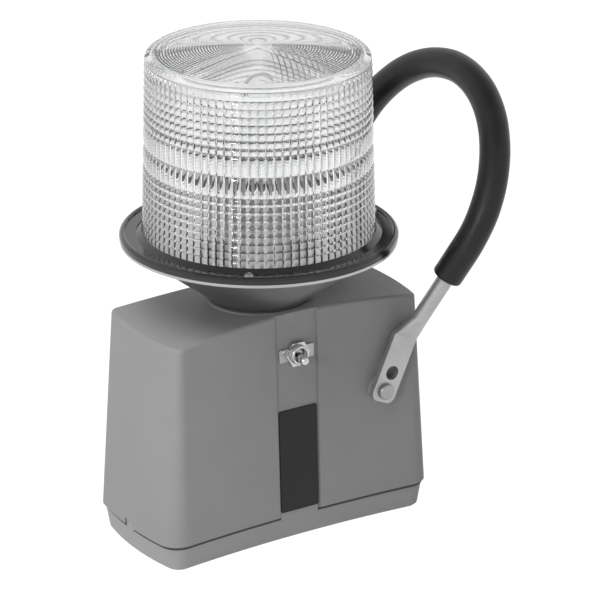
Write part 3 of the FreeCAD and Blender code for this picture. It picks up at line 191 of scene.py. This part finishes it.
def surface(name, dark, light, rough, grain_scale=1500.0, mottle_scale=18.0, depth=0.02 * MM,
            turned=False, **fixed):
    """A finish whose colour and roughness vary between two values, with a fine relief."""
    material, tree, shader = new_material(name)
    grain = tree.nodes.new("ShaderNodeGroup")
    grain.node_tree = GRAIN
    grain.inputs["Grain Scale"].default_value = grain_scale
    grain.inputs["Mottle Scale"].default_value = mottle_scale
    height, tone = grain.outputs["Grain"], grain.outputs["Mottle"]
    if turned:
        lines = tree.nodes.new("ShaderNodeGroup")
        lines.node_tree = TURNED
        height, tone = lines.outputs["Line"], calculate(tree, "MULTIPLY", lines.outputs["Band"], tone)
    speckle = calculate(tree, "ADD", calculate(tree, "MULTIPLY", tone, TONE_SHARE),
                        calculate(tree, "MULTIPLY", height, HEIGHT_SHARE))
    feed(tree, shader.inputs["Base Color"], blend_colours(tree, speckle, dark, light))
    feed(tree, shader.inputs["Roughness"], remap(tree, tone, 0.0, 1.0, *rough))
    bump = add(tree, "ShaderNodeBump", Height=height, Strength=1.0, Distance=depth)
    feed(tree, shader.inputs["Normal"], bump.outputs[0])
    for socket, value in fixed.items():
        socket_of(shader, socket).default_value = value
    return material


# Finishes
case_plastic = surface("case_plastic", grey(0.215), grey(0.25), (0.42, 0.54), grain_scale=1300.0,
                       mottle_scale=14.0, depth=0.03 * MM, IOR=1.46)
seal_rubber = surface("seal_rubber", grey(0.03), grey(0.05), (0.6, 0.8), depth=0.02 * MM)
# The base cover's copy of the case plastic, made lighter: painted light from the white floor below, not a
# different moulding.
case_plastic_painted_floor_light = surface("case_plastic_painted_floor_light", grey(0.26), grey(0.295), (0.42, 0.54), grain_scale=1300.0,
                        mottle_scale=14.0, depth=0.03 * MM, IOR=1.46)
label_black = surface("label_black", grey(0.006), grey(0.011), (0.3, 0.42), grain_scale=2600.0,
                      depth=0.01 * MM, Specular_IOR_Level=0.3)
clamp_black = surface("clamp_black", grey(0.008), grey(0.016), (0.07, 0.15), grain_scale=1200.0,
                      depth=0.03 * MM)
foam_black = surface("foam_black", grey(0.005), grey(0.012), (0.3, 0.42), grain_scale=1400.0,
                     mottle_scale=40.0, depth=0.08 * MM, Specular_IOR_Level=0.32)
spun_metal = surface("spun_metal", grey(0.4), grey(0.56), (0.28, 0.4), depth=0.015 * MM, turned=True,
                     Metallic=1.0)
reflector_metal = surface("reflector_metal", grey(0.8), grey(0.9), (0.3, 0.4), depth=0.01 * MM,
                          turned=True, Metallic=0.6)
bail_metal = surface("bail_metal", grey(0.34), grey(0.48), (0.3, 0.46), grain_scale=900.0,
                     mottle_scale=60.0, depth=0.02 * MM, Metallic=0.85)
fastener_steel = surface("fastener_steel", grey(0.28), grey(0.44), (0.25, 0.42), grain_scale=1800.0,
                         depth=0.015 * MM, Metallic=1.0)
plated_metal = surface("plated_metal", grey(0.46), grey(0.62), (0.12, 0.24), grain_scale=1200.0,
                       depth=0.01 * MM, Metallic=1.0)
contact_brass = surface("contact_brass", (0.42, 0.26, 0.09, 1), (0.62, 0.42, 0.17, 1), (0.25, 0.45),
                        depth=0.015 * MM, Metallic=1.0)
board_green = surface("board_green", (0.01, 0.05, 0.02, 1), (0.02, 0.09, 0.035, 1), (0.35, 0.5),
                      grain_scale=1800.0, depth=0.02 * MM)
insulator_cream = surface("insulator_cream", (0.5, 0.48, 0.42, 1), (0.64, 0.62, 0.56, 1), (0.45, 0.6))
ceramic_grey = surface("ceramic_grey", grey(0.2), grey(0.28), (0.2, 0.35))
component_black = surface("component_black", grey(0.015), grey(0.035), (0.4, 0.6))
battery_jacket = surface("battery_jacket", (0.05, 0.055, 0.065, 1), (0.085, 0.09, 0.1, 1), (0.3, 0.42),
                         grain_scale=1200.0, depth=0.01 * MM)


SCRATCH_SCALE, CLOUD_SCALE = 700.0, 60.0
ASLANT_FROM, ASLANT_TO = 0.3, 0.95
CLEAR_IOR = 1.49


def clear_material(name, tint, edge_tint, rough):
    """Clear plastic or glass, darker where seen aslant, with an uneven polish."""
    material, tree, shader = new_material(name)
    grain = tree.nodes.new("ShaderNodeGroup")
    grain.node_tree = GRAIN
    grain.inputs["Grain Scale"].default_value = SCRATCH_SCALE
    grain.inputs["Mottle Scale"].default_value = CLOUD_SCALE
    body = blend_colours(tree, grain.outputs["Mottle"], tint, grey(1.0))
    aslant = add(tree, "ShaderNodeLayerWeight", Blend=0.5).outputs["Facing"]
    feed(tree, shader.inputs["Base Color"], blend_colours(tree, remap(
        tree, aslant, ASLANT_FROM, ASLANT_TO, 0.0, 1.0), body, edge_tint))
    feed(tree, shader.inputs["Roughness"], remap(
        tree, grain.outputs["Grain"], SLOW_LOW, SLOW_HIGH, *rough))
    shader.inputs["Transmission Weight"].default_value = 1.0
    shader.inputs["IOR"].default_value = CLEAR_IOR
    return material


lens_clear = clear_material("lens_clear", (0.88, 0.89, 0.89, 1), (0.52, 0.53, 0.53, 1), (0.02, 0.07))
tube_glass = clear_material("tube_glass", (0.95, 0.96, 0.97, 1), (0.8, 0.8, 0.8, 1), (0.01, 0.04))

FINISHES = {
    "case": case_plastic, "seal": seal_rubber, "label": label_black, "battery": battery_jacket,
    "contact": contact_brass, "board": board_green, "insulator": insulator_cream,
    "component": component_black, "fastener": fastener_steel, "plated": plated_metal,
    "spun_metal": spun_metal, "clamp_ring": clamp_black, "lens": lens_clear,
    "tube_glass": tube_glass, "bail_metal": bail_metal, "foam": foam_black,
}

# The plate under the tube is polished to throw the flash upwards and the tube's socket is glazed;
# the cover takes a lighter copy of the case plastic: painted light from the white floor below.
OWN_FINISHES = {"mount_plate": reflector_metal, "base_cover": case_plastic_painted_floor_light, "tube_base": ceramic_grey}


def dress_nodes():
    """Every CAD node takes the finish of its material slot in the record, or its own."""
    for entry in frame["record"]["subparts"]:
        node = nodes[entry["node"]]
        finish = OWN_FINISHES.get(entry["node"], FINISHES[entry["material_slot"]])
        for slot in node.material_slots:
            slot.link = "OBJECT"
            slot.material = finish


# Meshes
def make_piece(mesh, name, body, slot, replaced=(), sharp=None):
    """An object from the mesh, riding on a body in place of CAD nodes."""
    bmesh.ops.remove_doubles(mesh, verts=mesh.verts, dist=MERGE)
    bmesh.ops.recalc_face_normals(mesh, faces=mesh.faces)
    data = bpy.data.meshes.new(name)
    mesh.to_mesh(data)
    mesh.free()
    data.materials.append(FINISHES[slot])
    data.polygons.foreach_set("use_smooth", [True] * len(data.polygons))
    if sharp:
        data.set_sharp_from_angle(angle=math.radians(sharp))
    piece = bpy.data.objects.new(name, data)
    bpy.context.scene.collection.objects.link(piece)
    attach(piece, body)
    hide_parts(*replaced)
    return piece


def turn(mesh, corners, steps, share=1.0):
    """Spins a chain of (radius, height) corners round the upright axis, or a share of the way."""
    points = [mesh.verts.new((radius, 0.0, height)) for radius, height in corners]
    chain = [mesh.edges.new(pair) for pair in zip(points, points[1:])]
    bmesh.ops.spin(mesh, geom=points + chain, cent=(0, 0, 0), axis=(0, 0, 1),
                   angle=2 * math.pi * share, steps=steps, use_merge=share == 1.0)
    bmesh.ops.remove_doubles(mesh, verts=mesh.verts, dist=MERGE)


def repeat_round(mesh, count):
    """Copies what the mesh holds round the upright axis, count times in all."""
    bmesh.ops.spin(mesh, geom=mesh.verts[:] + mesh.edges[:] + mesh.faces[:], cent=(0, 0, 0),
                   axis=(0, 0, 1), angle=2 * math.pi * (count - 1) / count, steps=count - 1,
                   use_duplicate=True)


def open_edges(mesh):
    return [edge for edge in mesh.edges if edge.is_boundary]


def draw_on(mesh, edges, matrix):
    """Extrudes an open edge loop and moves the new loop; returns the new loop."""
    made = bmesh.ops.extrude_edge_only(mesh, edges=edges)["geom"]
    bmesh.ops.transform(mesh, matrix=matrix, verts=[
        corner for corner in made if isinstance(corner, bmesh.types.BMVert)])
    return [edge for edge in made if isinstance(edge, bmesh.types.BMEdge) and edge.is_boundary]


# Lens
LENS_FOOT_RADIUS = 68.9 * MM
LENS_TOP_RADIUS = 65.8 * MM
LENS_SHOULDER_DROP = 4.8 * MM
LENS_SHOULDER = LENS_TOP - LENS_FOOT - LENS_SHOULDER_DROP
LENS_DOME_RISE = 4.6 * MM
LENS_LIP_RADIUS = 71.0 * MM
LENS_LIP_THICK = 2.0 * MM
LENS_WALL = 3.2 * MM
LENS_EDGE_ROUND = 4.0 * MM
LOWER_RING_START, LOWER_RINGS, LOWER_RING_DEPTH = 3.3 * MM, 9, 0.8 * MM
BAND_START, BAND_HEIGHT, BAND_DEPTH, BANDS = 45.0 * MM, 12.6 * MM, 1.6 * MM, 2
UPPER_RING_PITCH, UPPER_RINGS, UPPER_RING_DEPTH = 4.6 * MM, 8, 0.9 * MM
RING_FLATNESS, RING_ROWS = 1.0, 6
BAND_FLATNESS, BAND_ROWS = 0.4, 14
EDGE_ROWS = 6
DOME_ROWS = 16
FLUTES = 88
FLUTE_DEPTH = 1.2 * MM
FLUTE_STEPS = 4
FLUTE_FADE = 6.0 * MM
TOP_RING_PITCH = 1.7 * MM
TOP_RING_DEPTH = 0.3 * MM
LENS_CEILING = LENS_SHOULDER - LENS_WALL
CEILING_ROUND = 3.0 * MM
WALL_TOP = LENS_CEILING - CEILING_ROUND
WALL_ROWS = (0.0, 0.3, 0.6, 0.9, 0.93, 0.96)    # shares of the inner wall's height


def lens_radius(height):
    return LENS_FOOT_RADIUS - (LENS_FOOT_RADIUS - LENS_TOP_RADIUS) * height / LENS_SHOULDER


def bulged_rows(start, height, depth, flatness, steps):
    """Corners up one rounded ring, which is flush at its middle and set in at its two ends."""
    rows = []
    for step in range(1, steps + 1):
        up = start + height * (1 - math.cos(math.pi * step / steps)) / 2
        swell = math.sin(math.pi * (up - start) / height) ** flatness
        rows.append((lens_radius(up) - depth * (1 - swell), up))
    return rows


def lens_outside():
    """Corners from the foot up over the lip, the rings, the bands and the dome."""
    rows = [(LENS_LIP_RADIUS, 0.0), (LENS_LIP_RADIUS, LENS_LIP_THICK),
            (LENS_FOOT_RADIUS - LOWER_RING_DEPTH, LENS_LIP_THICK),
            (LENS_FOOT_RADIUS - LOWER_RING_DEPTH, LOWER_RING_START)]
    pitch = (BAND_START - LOWER_RING_START) / LOWER_RINGS
    for number in range(LOWER_RINGS):
        rows += bulged_rows(LOWER_RING_START + pitch * number, pitch, LOWER_RING_DEPTH,
                            RING_FLATNESS, RING_ROWS)
    for number in range(BANDS):
        rows += bulged_rows(BAND_START + BAND_HEIGHT * number, BAND_HEIGHT, BAND_DEPTH,
                            BAND_FLATNESS, BAND_ROWS)
    height = BAND_START + BAND_HEIGHT * BANDS
    for number in range(UPPER_RINGS):
        rows += bulged_rows(height + UPPER_RING_PITCH * number, UPPER_RING_PITCH, UPPER_RING_DEPTH,
                            RING_FLATNESS, RING_ROWS)
    rows += rounded_edge(LENS_TOP_RADIUS, LENS_SHOULDER, LENS_EDGE_ROUND)
    rim = LENS_TOP_RADIUS - LENS_EDGE_ROUND
    radii = [rim * (1 - step / DOME_ROWS) for step in range(1, DOME_ROWS + 1)]
    return rows + [(radius, dome_height(radius)) for radius in radii]


def rounded_edge(radius, top, rounding):
    """Corners up and inwards over a quarter round."""
    rows = []
    for step in range(EDGE_ROWS + 1):
        lean = math.pi / 2 * step / EDGE_ROWS
        rows.append((radius - rounding * (1 - math.cos(lean)), top - rounding * (1 - math.sin(lean))))
    return rows


def dome_height(radius):
    rim = LENS_TOP_RADIUS - LENS_EDGE_ROUND
    ball = (rim ** 2 + LENS_DOME_RISE ** 2) / (2 * LENS_DOME_RISE)
    return LENS_SHOULDER + LENS_DOME_RISE - ball + math.sqrt(ball ** 2 - radius ** 2)


def lens_ceiling():
    """Corners from the rounded inner edge to the middle, grooved by fine rings."""
    rows = rounded_edge(LENS_TOP_RADIUS - LENS_WALL, LENS_CEILING, CEILING_ROUND)
    flat = LENS_TOP_RADIUS - LENS_WALL - CEILING_ROUND
    rings = round(flat / TOP_RING_PITCH)
    for ring in range(1, rings + 1):
        radius = flat * (1 - ring / rings)
        crest = flat * (1 - (ring - 0.5) / rings)
        rows.append((crest, dome_height(crest) - LENS_WALL))
        rows.append((radius, dome_height(radius) - LENS_WALL - TOP_RING_DEPTH))
    return rows


def lens_inside():
    """Corners from the foot up the wall, then over the ceiling."""
    wall = [WALL_TOP * share for share in WALL_ROWS]
    return [(lens_radius(height) - LENS_WALL, height) for height in wall] + lens_ceiling()


def make_lens():
    """Rings outside, upright flutes inside, and a dome with fine rings on its underside."""
    mesh = bmesh.new()
    turn(mesh, lens_inside()[::-1] + lens_outside(), FLUTE_STEPS, 1 / FLUTES)
    for corner in mesh.verts:
        wall = lens_radius(corner.co.z) - LENS_WALL
        if corner.co.z < WALL_TOP and corner.co.xy.length < wall + MERGE:
            swell = abs(math.sin(FLUTES * math.atan2(corner.co.y, corner.co.x) / 2))
            fade = min((WALL_TOP - corner.co.z) / FLUTE_FADE, 1.0)
            inward = corner.co.xy.normalized() * FLUTE_DEPTH * swell * fade
            corner.co.xy -= inward
    repeat_round(mesh, FLUTES)
    bmesh.ops.translate(mesh, verts=mesh.verts, vec=(LAMP_X, 0.0, LENS_FOOT))
    make_piece(mesh, "fluted_lens", "housing", "lens", ["lens"], sharp=35)


# Bail grip
BAIL_LEAN = math.radians(24.1)
LOOP_CENTRE = 121.9 * MM
LOOP_RADIUS = 72.5 * MM
ARM_SPLAY = math.radians(18.5)
GRIP_RUN = 22.0 * MM
GRIP_RADIUS = 9.3 * MM
GRIP_BORE = 5.1 * MM
GRIP_END_ROUND = 1.6 * MM
GRIP_SIDES, LOOP_STEPS, RUN_STEPS = 40, 130, 10
FOAM_UNEVEN = 0.22 * MM
FOAM_SCALE = 55.0


def make_grip():
    """A foam sleeve round the bail's loop, with slightly uneven skin and soft ends."""
    mesh = bmesh.new()
    bmesh.ops.create_circle(mesh, cap_ends=False, radius=GRIP_RADIUS, segments=GRIP_SIDES,
                            matrix=Matrix.Translation((0, -LOOP_RADIUS, 0)))
    bmesh.ops.rotate(mesh, verts=mesh.verts, cent=(0, 0, 0), matrix=Matrix.Rotation(ARM_SPLAY, 3, "X"))
    swing = math.pi + 2 * ARM_SPLAY
    bmesh.ops.spin(mesh, geom=mesh.verts[:] + mesh.edges[:], cent=(0, 0, 0), axis=(-1, 0, 0),
                   angle=swing, steps=LOOP_STEPS)
    for side in (-1, 1):
        edges = [edge for edge in open_edges(mesh) if edge.verts[0].co.y * side > 0]
        ahead = Vector((0, -side * math.sin(ARM_SPLAY), -math.cos(ARM_SPLAY)))
        for step in range(RUN_STEPS):
            edges = draw_on(mesh, edges, Matrix.Translation(ahead * GRIP_RUN / RUN_STEPS))
    bmesh.ops.recalc_face_normals(mesh, faces=mesh.faces)
    mesh.normal_update()
    for corner in mesh.verts:
        swell = FOAM_UNEVEN * (noise.noise(corner.co * FOAM_SCALE) - 0.5)
        corner.co += corner.normal * swell
    ends = open_edges(mesh)
    bmesh.ops.solidify(mesh, geom=mesh.faces[:], thickness=GRIP_RADIUS - GRIP_BORE)
    bmesh.ops.bevel(mesh, geom=ends, offset=GRIP_END_ROUND, segments=3, profile=0.5, affect="EDGES",
                    material=-1)
    bmesh.ops.transform(mesh, verts=mesh.verts, matrix=Matrix.Translation(PIVOT) @ Matrix.Rotation(
        BAIL_LEAN, 4, "Y") @ Matrix.Translation((0, 0, LOOP_CENTRE)))
    make_piece(mesh, "foam_grip", "bail", "foam", ["bail_grip"], sharp=50)


# Label plate
PANEL_LEAN = math.atan2(SWITCH_AXIS.y, SWITCH_AXIS.z)
LABEL_THICK = 0.8 * MM
LABEL_CORNER = 1.2 * MM
LABEL_RIM = 0.5 * MM
LABEL_EDGE = 0.2 * MM


def panel_frame(place):
    """X across the panel, Y up it and Z out of it, at a place on the panel."""
    return Matrix.Translation(place) @ Matrix.Rotation(math.pi / 2 - PANEL_LEAN, 4, "X")


def make_label():
    """A bare black plate with round corners and a thin raised rim."""
    low, high = (Vector(corner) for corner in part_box("name_plate"))
    height = (high.z - low.z - LABEL_THICK * math.sin(PANEL_LEAN)) / math.cos(PANEL_LEAN)
    middle = Vector((0.0, high.y - height / 2 * math.sin(PANEL_LEAN),
                     low.z + height / 2 * math.cos(PANEL_LEAN)))
    mesh = bmesh.new()
    bmesh.ops.create_cube(mesh, size=1.0, matrix=Matrix.Translation((0, 0, LABEL_THICK / 2)) @
                          Matrix.Diagonal((high.x - low.x, height, LABEL_THICK, 1.0)))
    corners = [edge for edge in mesh.edges if abs(edge.verts[0].co.z - edge.verts[1].co.z) > MERGE]
    bmesh.ops.bevel(mesh, geom=corners, offset=LABEL_CORNER, segments=5, profile=0.5, affect="EDGES",
                    material=-1)
    mesh.normal_update()
    front = [face for face in mesh.faces if face.normal.z > 0.9]
    bmesh.ops.bevel(mesh, geom=list(front[0].edges), offset=LABEL_EDGE, segments=2, profile=0.5,
                    affect="EDGES", material=-1)
    mesh.normal_update()
    front = max((face for face in mesh.faces if face.normal.z > 0.9), key=lambda face: face.calc_area())
    bmesh.ops.inset_region(mesh, faces=[front], thickness=LABEL_RIM, depth=0.0)
    bmesh.ops.inset_region(mesh, faces=[front], thickness=LABEL_EDGE, depth=-LABEL_EDGE)
    bmesh.ops.transform(mesh, verts=mesh.verts, matrix=panel_frame(middle))
    make_piece(mesh, "label_plate", "housing", "label", ["name_plate"], sharp=30)


# Springs and threads
def make_springs():
    """Each battery terminal is a cone of wire."""
    low, high = (Vector(corner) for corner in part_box("terminal_springs"))
    reach, tip, wire, turns, steps = 8.0 * MM, 5.0 * MM, 0.6 * MM, 4, 24
    aside = 12.0 * MM
    rise = high.z - low.z - 2 * wire
    mesh = bmesh.new()
    section = Matrix.Translation((reach - wire, 0, 0)) @ Matrix.Rotation(math.pi / 2, 4, "X")
    bmesh.ops.create_circle(mesh, cap_ends=False, radius=wire, segments=10, matrix=section)
    bmesh.ops.spin(mesh, geom=mesh.verts[:] + mesh.edges[:], cent=(0, 0, 0), axis=(0, 0, 1),
                   dvec=(0, 0, rise / (turns * steps)), angle=2 * math.pi * turns, steps=turns * steps)
    for corner in mesh.verts:
        share = min(max(corner.co.z / rise, 0.0), 1.0)
        inward = corner.co.xy.normalized() * (reach - tip) * share
        corner.co.xy -= inward
    bmesh.ops.holes_fill(mesh, edges=open_edges(mesh), sides=0)
    spring = mesh.verts[:] + mesh.edges[:] + mesh.faces[:]
    for side in (-1, 1):
        centre_x = (high.x - reach) * side
        for x, y in ((centre_x, low.y + reach), (centre_x - aside * side, high.y - reach)):
            copied = bmesh.ops.duplicate(mesh, geom=spring)["geom"]
            bmesh.ops.translate(mesh, vec=(x, y, low.z + wire), verts=[
                corner for corner in copied if isinstance(corner, bmesh.types.BMVert)])
    bmesh.ops.delete(mesh, geom=spring[:], context="VERTS")
    make_piece(mesh, "coil_springs", "tray", "contact", ["terminal_springs"], sharp=50)


def make_threaded_bushing():
    """The switch's threaded bushing, from behind the panel to its open mouth."""
    bore, outer, pitch, depth = 4.3 * MM, 5.9 * MM, 0.75 * MM, 0.28 * MM
    back, front, rounding = -1.25 * MM, 6.0 * MM, 0.4 * MM
    rows = 4 * round((front - back) / pitch)
    thread = [(outer, back + (front - rounding - back) * row / rows) for row in range(rows + 1)]
    mouth = [(outer - depth - rounding / 2, front), (bore + rounding, front), (bore, front - rounding),
             (bore, back), (outer, back)]
    mesh = bmesh.new()
    turn(mesh, thread + mouth, 48)
    for corner in mesh.verts:
        if corner.co.xy.length > outer - MERGE:
            share = corner.co.z / pitch + math.atan2(corner.co.y, corner.co.x) / (2 * math.pi)
            inward = corner.co.xy.normalized() * depth * abs((share % 1) * 2 - 1)
            corner.co.xy -= inward
    bmesh.ops.transform(mesh, verts=mesh.verts, matrix=panel_frame(SWITCH_PLACE))
    make_piece(mesh, "threaded_bushing", "housing", "plated", ["switch_bushing"], sharp=60)


WASHER_BORE, WASHER_RADIUS, WASHER_THICK, WASHER_SIDES = 6.1 * MM, 7.0 * MM, 0.8 * MM, 72
WING_HALF, WING_CORNER = 4.05 * MM, 1.0 * MM


def make_switch_washer():
    """The washer under the switch's nut, with a flat wing to either side that keeps it from turning."""
    low, high = (Vector(corner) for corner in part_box("switch_plate"))
    mesh = bmesh.new()
    turn(mesh, [(WASHER_BORE, -WASHER_THICK / 2), (WASHER_RADIUS, -WASHER_THICK / 2)], WASHER_SIDES)
    for side in (-1, 1):
        root = [edge for edge in open_edges(mesh) if all(
            corner.co.x * side > WASHER_RADIUS / 2 and abs(corner.co.y) < WING_HALF and
            corner.co.xy.length > WASHER_RADIUS - MERGE for corner in edge.verts)]
        for corner in bmesh.ops.extrude_edge_only(mesh, edges=root)["geom"]:
            if isinstance(corner, bmesh.types.BMVert):
                past = max(abs(corner.co.y) - WING_HALF + WING_CORNER, 0.0)
                cut = WING_CORNER - math.sqrt(WING_CORNER ** 2 - past ** 2)
                corner.co.x = side * ((high.x - low.x) / 2 - cut)
    bmesh.ops.recalc_face_normals(mesh, faces=mesh.faces)
    if mesh.faces[:][0].normal.z > 0:
        bmesh.ops.reverse_faces(mesh, faces=mesh.faces[:])
    bmesh.ops.solidify(mesh, geom=mesh.faces[:], thickness=WASHER_THICK)
    bmesh.ops.transform(mesh, verts=mesh.verts, matrix=panel_frame((low + high) / 2))
    make_piece(mesh, "switch_washer", "housing", "fastener", ["switch_plate"], sharp=30)


# Gasket drawn out into a painted shadow line
# How far the gasket is pushed out and how low it is drawn, to paint the shadow under the shell's overhang
PAINTED_SHADOW_PUSH = 0.25 * MM
PAINTED_SHADOW_FOOT = 14.8 * MM


def make_gasket_painted_shadow():
    """The real gasket, pushed out and drawn down so that its dark rubber paints the shadow under the shell's edge.
    """
    mesh = bmesh.new()
    mesh.from_mesh(nodes["base_gasket"].data)
    bmesh.ops.remove_doubles(mesh, verts=mesh.verts, dist=MERGE)
    mesh.normal_update()
    low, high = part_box("base_gasket")
    middle = (low[2] + high[2]) / 2
    for corner in mesh.verts:
        outward = Vector((corner.normal.x, corner.normal.y))
        # Outer corners pushed out and the lower ones drawn down: dark rubber where there is only the overhang's
        # shadow
        if outward.dot(corner.co.xy) > 0:
            push = outward.normalized() * PAINTED_SHADOW_PUSH
            corner.co.xy += push
            if corner.co.z < middle:
                corner.co.z = PAINTED_SHADOW_FOOT
    make_piece(mesh, "gasket_painted_shadow", "tray", "seal", ["base_gasket"], sharp=40)


# Stage, light and camera
FLOOR_HALF = 4.0
FLOOR_GREY, FLOOR_ROUGHNESS = 0.8, 0.9
FLOOR_GLOW, FLOOR_GLOW_SHARE = 1.1, 0.97


def make_floor():
    """White to the eye and in reflections, plain pale paper to other light, clear from below."""
    mesh = bmesh.new()
    bmesh.ops.create_grid(mesh, x_segments=1, y_segments=1, size=FLOOR_HALF)
    data = bpy.data.meshes.new("floor")
    mesh.to_mesh(data)
    mesh.free()
    material, tree, shader = new_material("floor_white")
    shader.inputs["Base Color"].default_value = grey(FLOOR_GREY)
    shader.inputs["Roughness"].default_value = FLOOR_ROUGHNESS
    light = add(tree, "ShaderNodeEmission", Color=grey(1.0), Strength=FLOOR_GLOW)
    clear = tree.nodes.new("ShaderNodeBsdfTransparent")
    path = tree.nodes.new("ShaderNodeLightPath")
    lit = tree.nodes.new("ShaderNodeMixShader")
    seen = calculate(tree, "MAXIMUM", path.outputs["Is Camera Ray"], calculate(
        tree, "MAXIMUM", path.outputs["Is Glossy Ray"], path.outputs["Is Transmission Ray"]))
    feed(tree, lit.inputs[0], calculate(tree, "MULTIPLY", seen, FLOOR_GLOW_SHARE))
    tree.links.new(shader.outputs[0], lit.inputs[1])
    tree.links.new(light.outputs[0], lit.inputs[2])
    under = tree.nodes.new("ShaderNodeMixShader")
    feed(tree, under.inputs[0], add(tree, "ShaderNodeNewGeometry").outputs["Backfacing"])
    tree.links.new(lit.outputs[0], under.inputs[1])
    tree.links.new(clear.outputs[0], under.inputs[2])
    output = next(node for node in tree.nodes if node.type == "OUTPUT_MATERIAL")
    tree.links.new(under.outputs[0], output.inputs["Surface"])
    data.materials.append(material)
    floor = bpy.data.objects.new("floor", data)
    bpy.context.scene.collection.objects.link(floor)


def make_world():
    """White to the eye, white with a greyer ceiling in reflections, and a soft light on the object."""
    world = bpy.data.worlds.new("studio")
    world.use_nodes = True
    tree = world.node_tree
    tree.nodes.clear()
    path = tree.nodes.new("ShaderNodeLightPath")
    way = add(tree, "ShaderNodeSeparateXYZ", Vector=add(tree, "ShaderNodeTexCoord").outputs["Generated"])
    overhead = remap(tree, way.outputs[2], *CEILING_FADE, 1.0, CEILING_GREY)
    seen = calculate(tree, "MAXIMUM", path.outputs["Is Glossy Ray"], path.outputs["Is Transmission Ray"])
    level = calculate(tree, "ADD", calculate(tree, "MULTIPLY", seen, calculate(
        tree, "SUBTRACT", overhead, AMBIENT)), AMBIENT)
    level = calculate(tree, "MAXIMUM", level, path.outputs["Is Camera Ray"])
    background = add(tree, "ShaderNodeBackground", Color=level, Strength=1.0)
    output = tree.nodes.new("ShaderNodeOutputWorld")
    tree.links.new(background.outputs[0], output.inputs["Surface"])
    bpy.context.scene.world = world


def add_lamp(name, place, target, power, size, mirrored=False):
    """A soft square lamp; only a mirrored one shows as a gleam on what is glossy."""
    light = bpy.data.lights.new(name, "AREA")
    light.energy = power
    light.size = size
    lamp = bpy.data.objects.new(name, light)
    lamp.visible_transmission = False
    lamp.visible_glossy = mirrored
    lamp.location = place
    lamp.rotation_euler = (Vector(target) - Vector(place)).to_track_quat("-Z", "Y").to_euler()
    bpy.context.scene.collection.objects.link(lamp)


AMBIENT = 0.2
CEILING_FADE, CEILING_GREY = (0.6, 0.95), 0.4
KEY_PLACE, KEY_POWER, KEY_SIZE = (-1.1, -0.1, 0.35), 2.4, 0.5
FILL_PLACE, FILL_POWER, FILL_SIZE = (-0.26, -0.32, 0.02), 0.38, 0.12
TOP_PLACE, TOP_POWER, TOP_SIZE = (-0.5, -0.2, 1.3), 15.0, 0.9
GLEAM_PLACE, GLEAM_POWER, GLEAM_SIZE = (-1.05, -0.74, 0.56), 3.0, 0.14
LIGHT_TARGET = (0.0, 0.0, 0.15)


def make_camera():
    data = bpy.data.cameras.new("camera")
    data.sensor_width = SENSOR_MM
    data.lens = FOCAL_PIXELS / IMAGE_PIXELS * SENSOR_MM
    camera = bpy.data.objects.new("camera", data)
    camera.location = CAMERA_PLACE
    camera.rotation_euler = (math.radians(90 - CAMERA_ELEVATION), 0.0, -math.radians(CAMERA_AZIMUTH))
    bpy.context.scene.collection.objects.link(camera)
    bpy.context.scene.camera = camera


dress_nodes()
make_lens()
make_grip()
make_label()
make_springs()
make_threaded_bushing()
make_switch_washer()
make_gasket_painted_shadow()
make_floor()
make_world()
add_lamp("key", KEY_PLACE, LIGHT_TARGET, KEY_POWER, KEY_SIZE)
add_lamp("fill", FILL_PLACE, LIGHT_TARGET, FILL_POWER, FILL_SIZE)
add_lamp("top", TOP_PLACE, LIGHT_TARGET, TOP_POWER, TOP_SIZE)
add_lamp("gleam", GLEAM_PLACE, LIGHT_TARGET, GLEAM_POWER, GLEAM_SIZE, mirrored=True)
make_camera()
bpy.context.scene.view_settings.view_transform = "Standard"
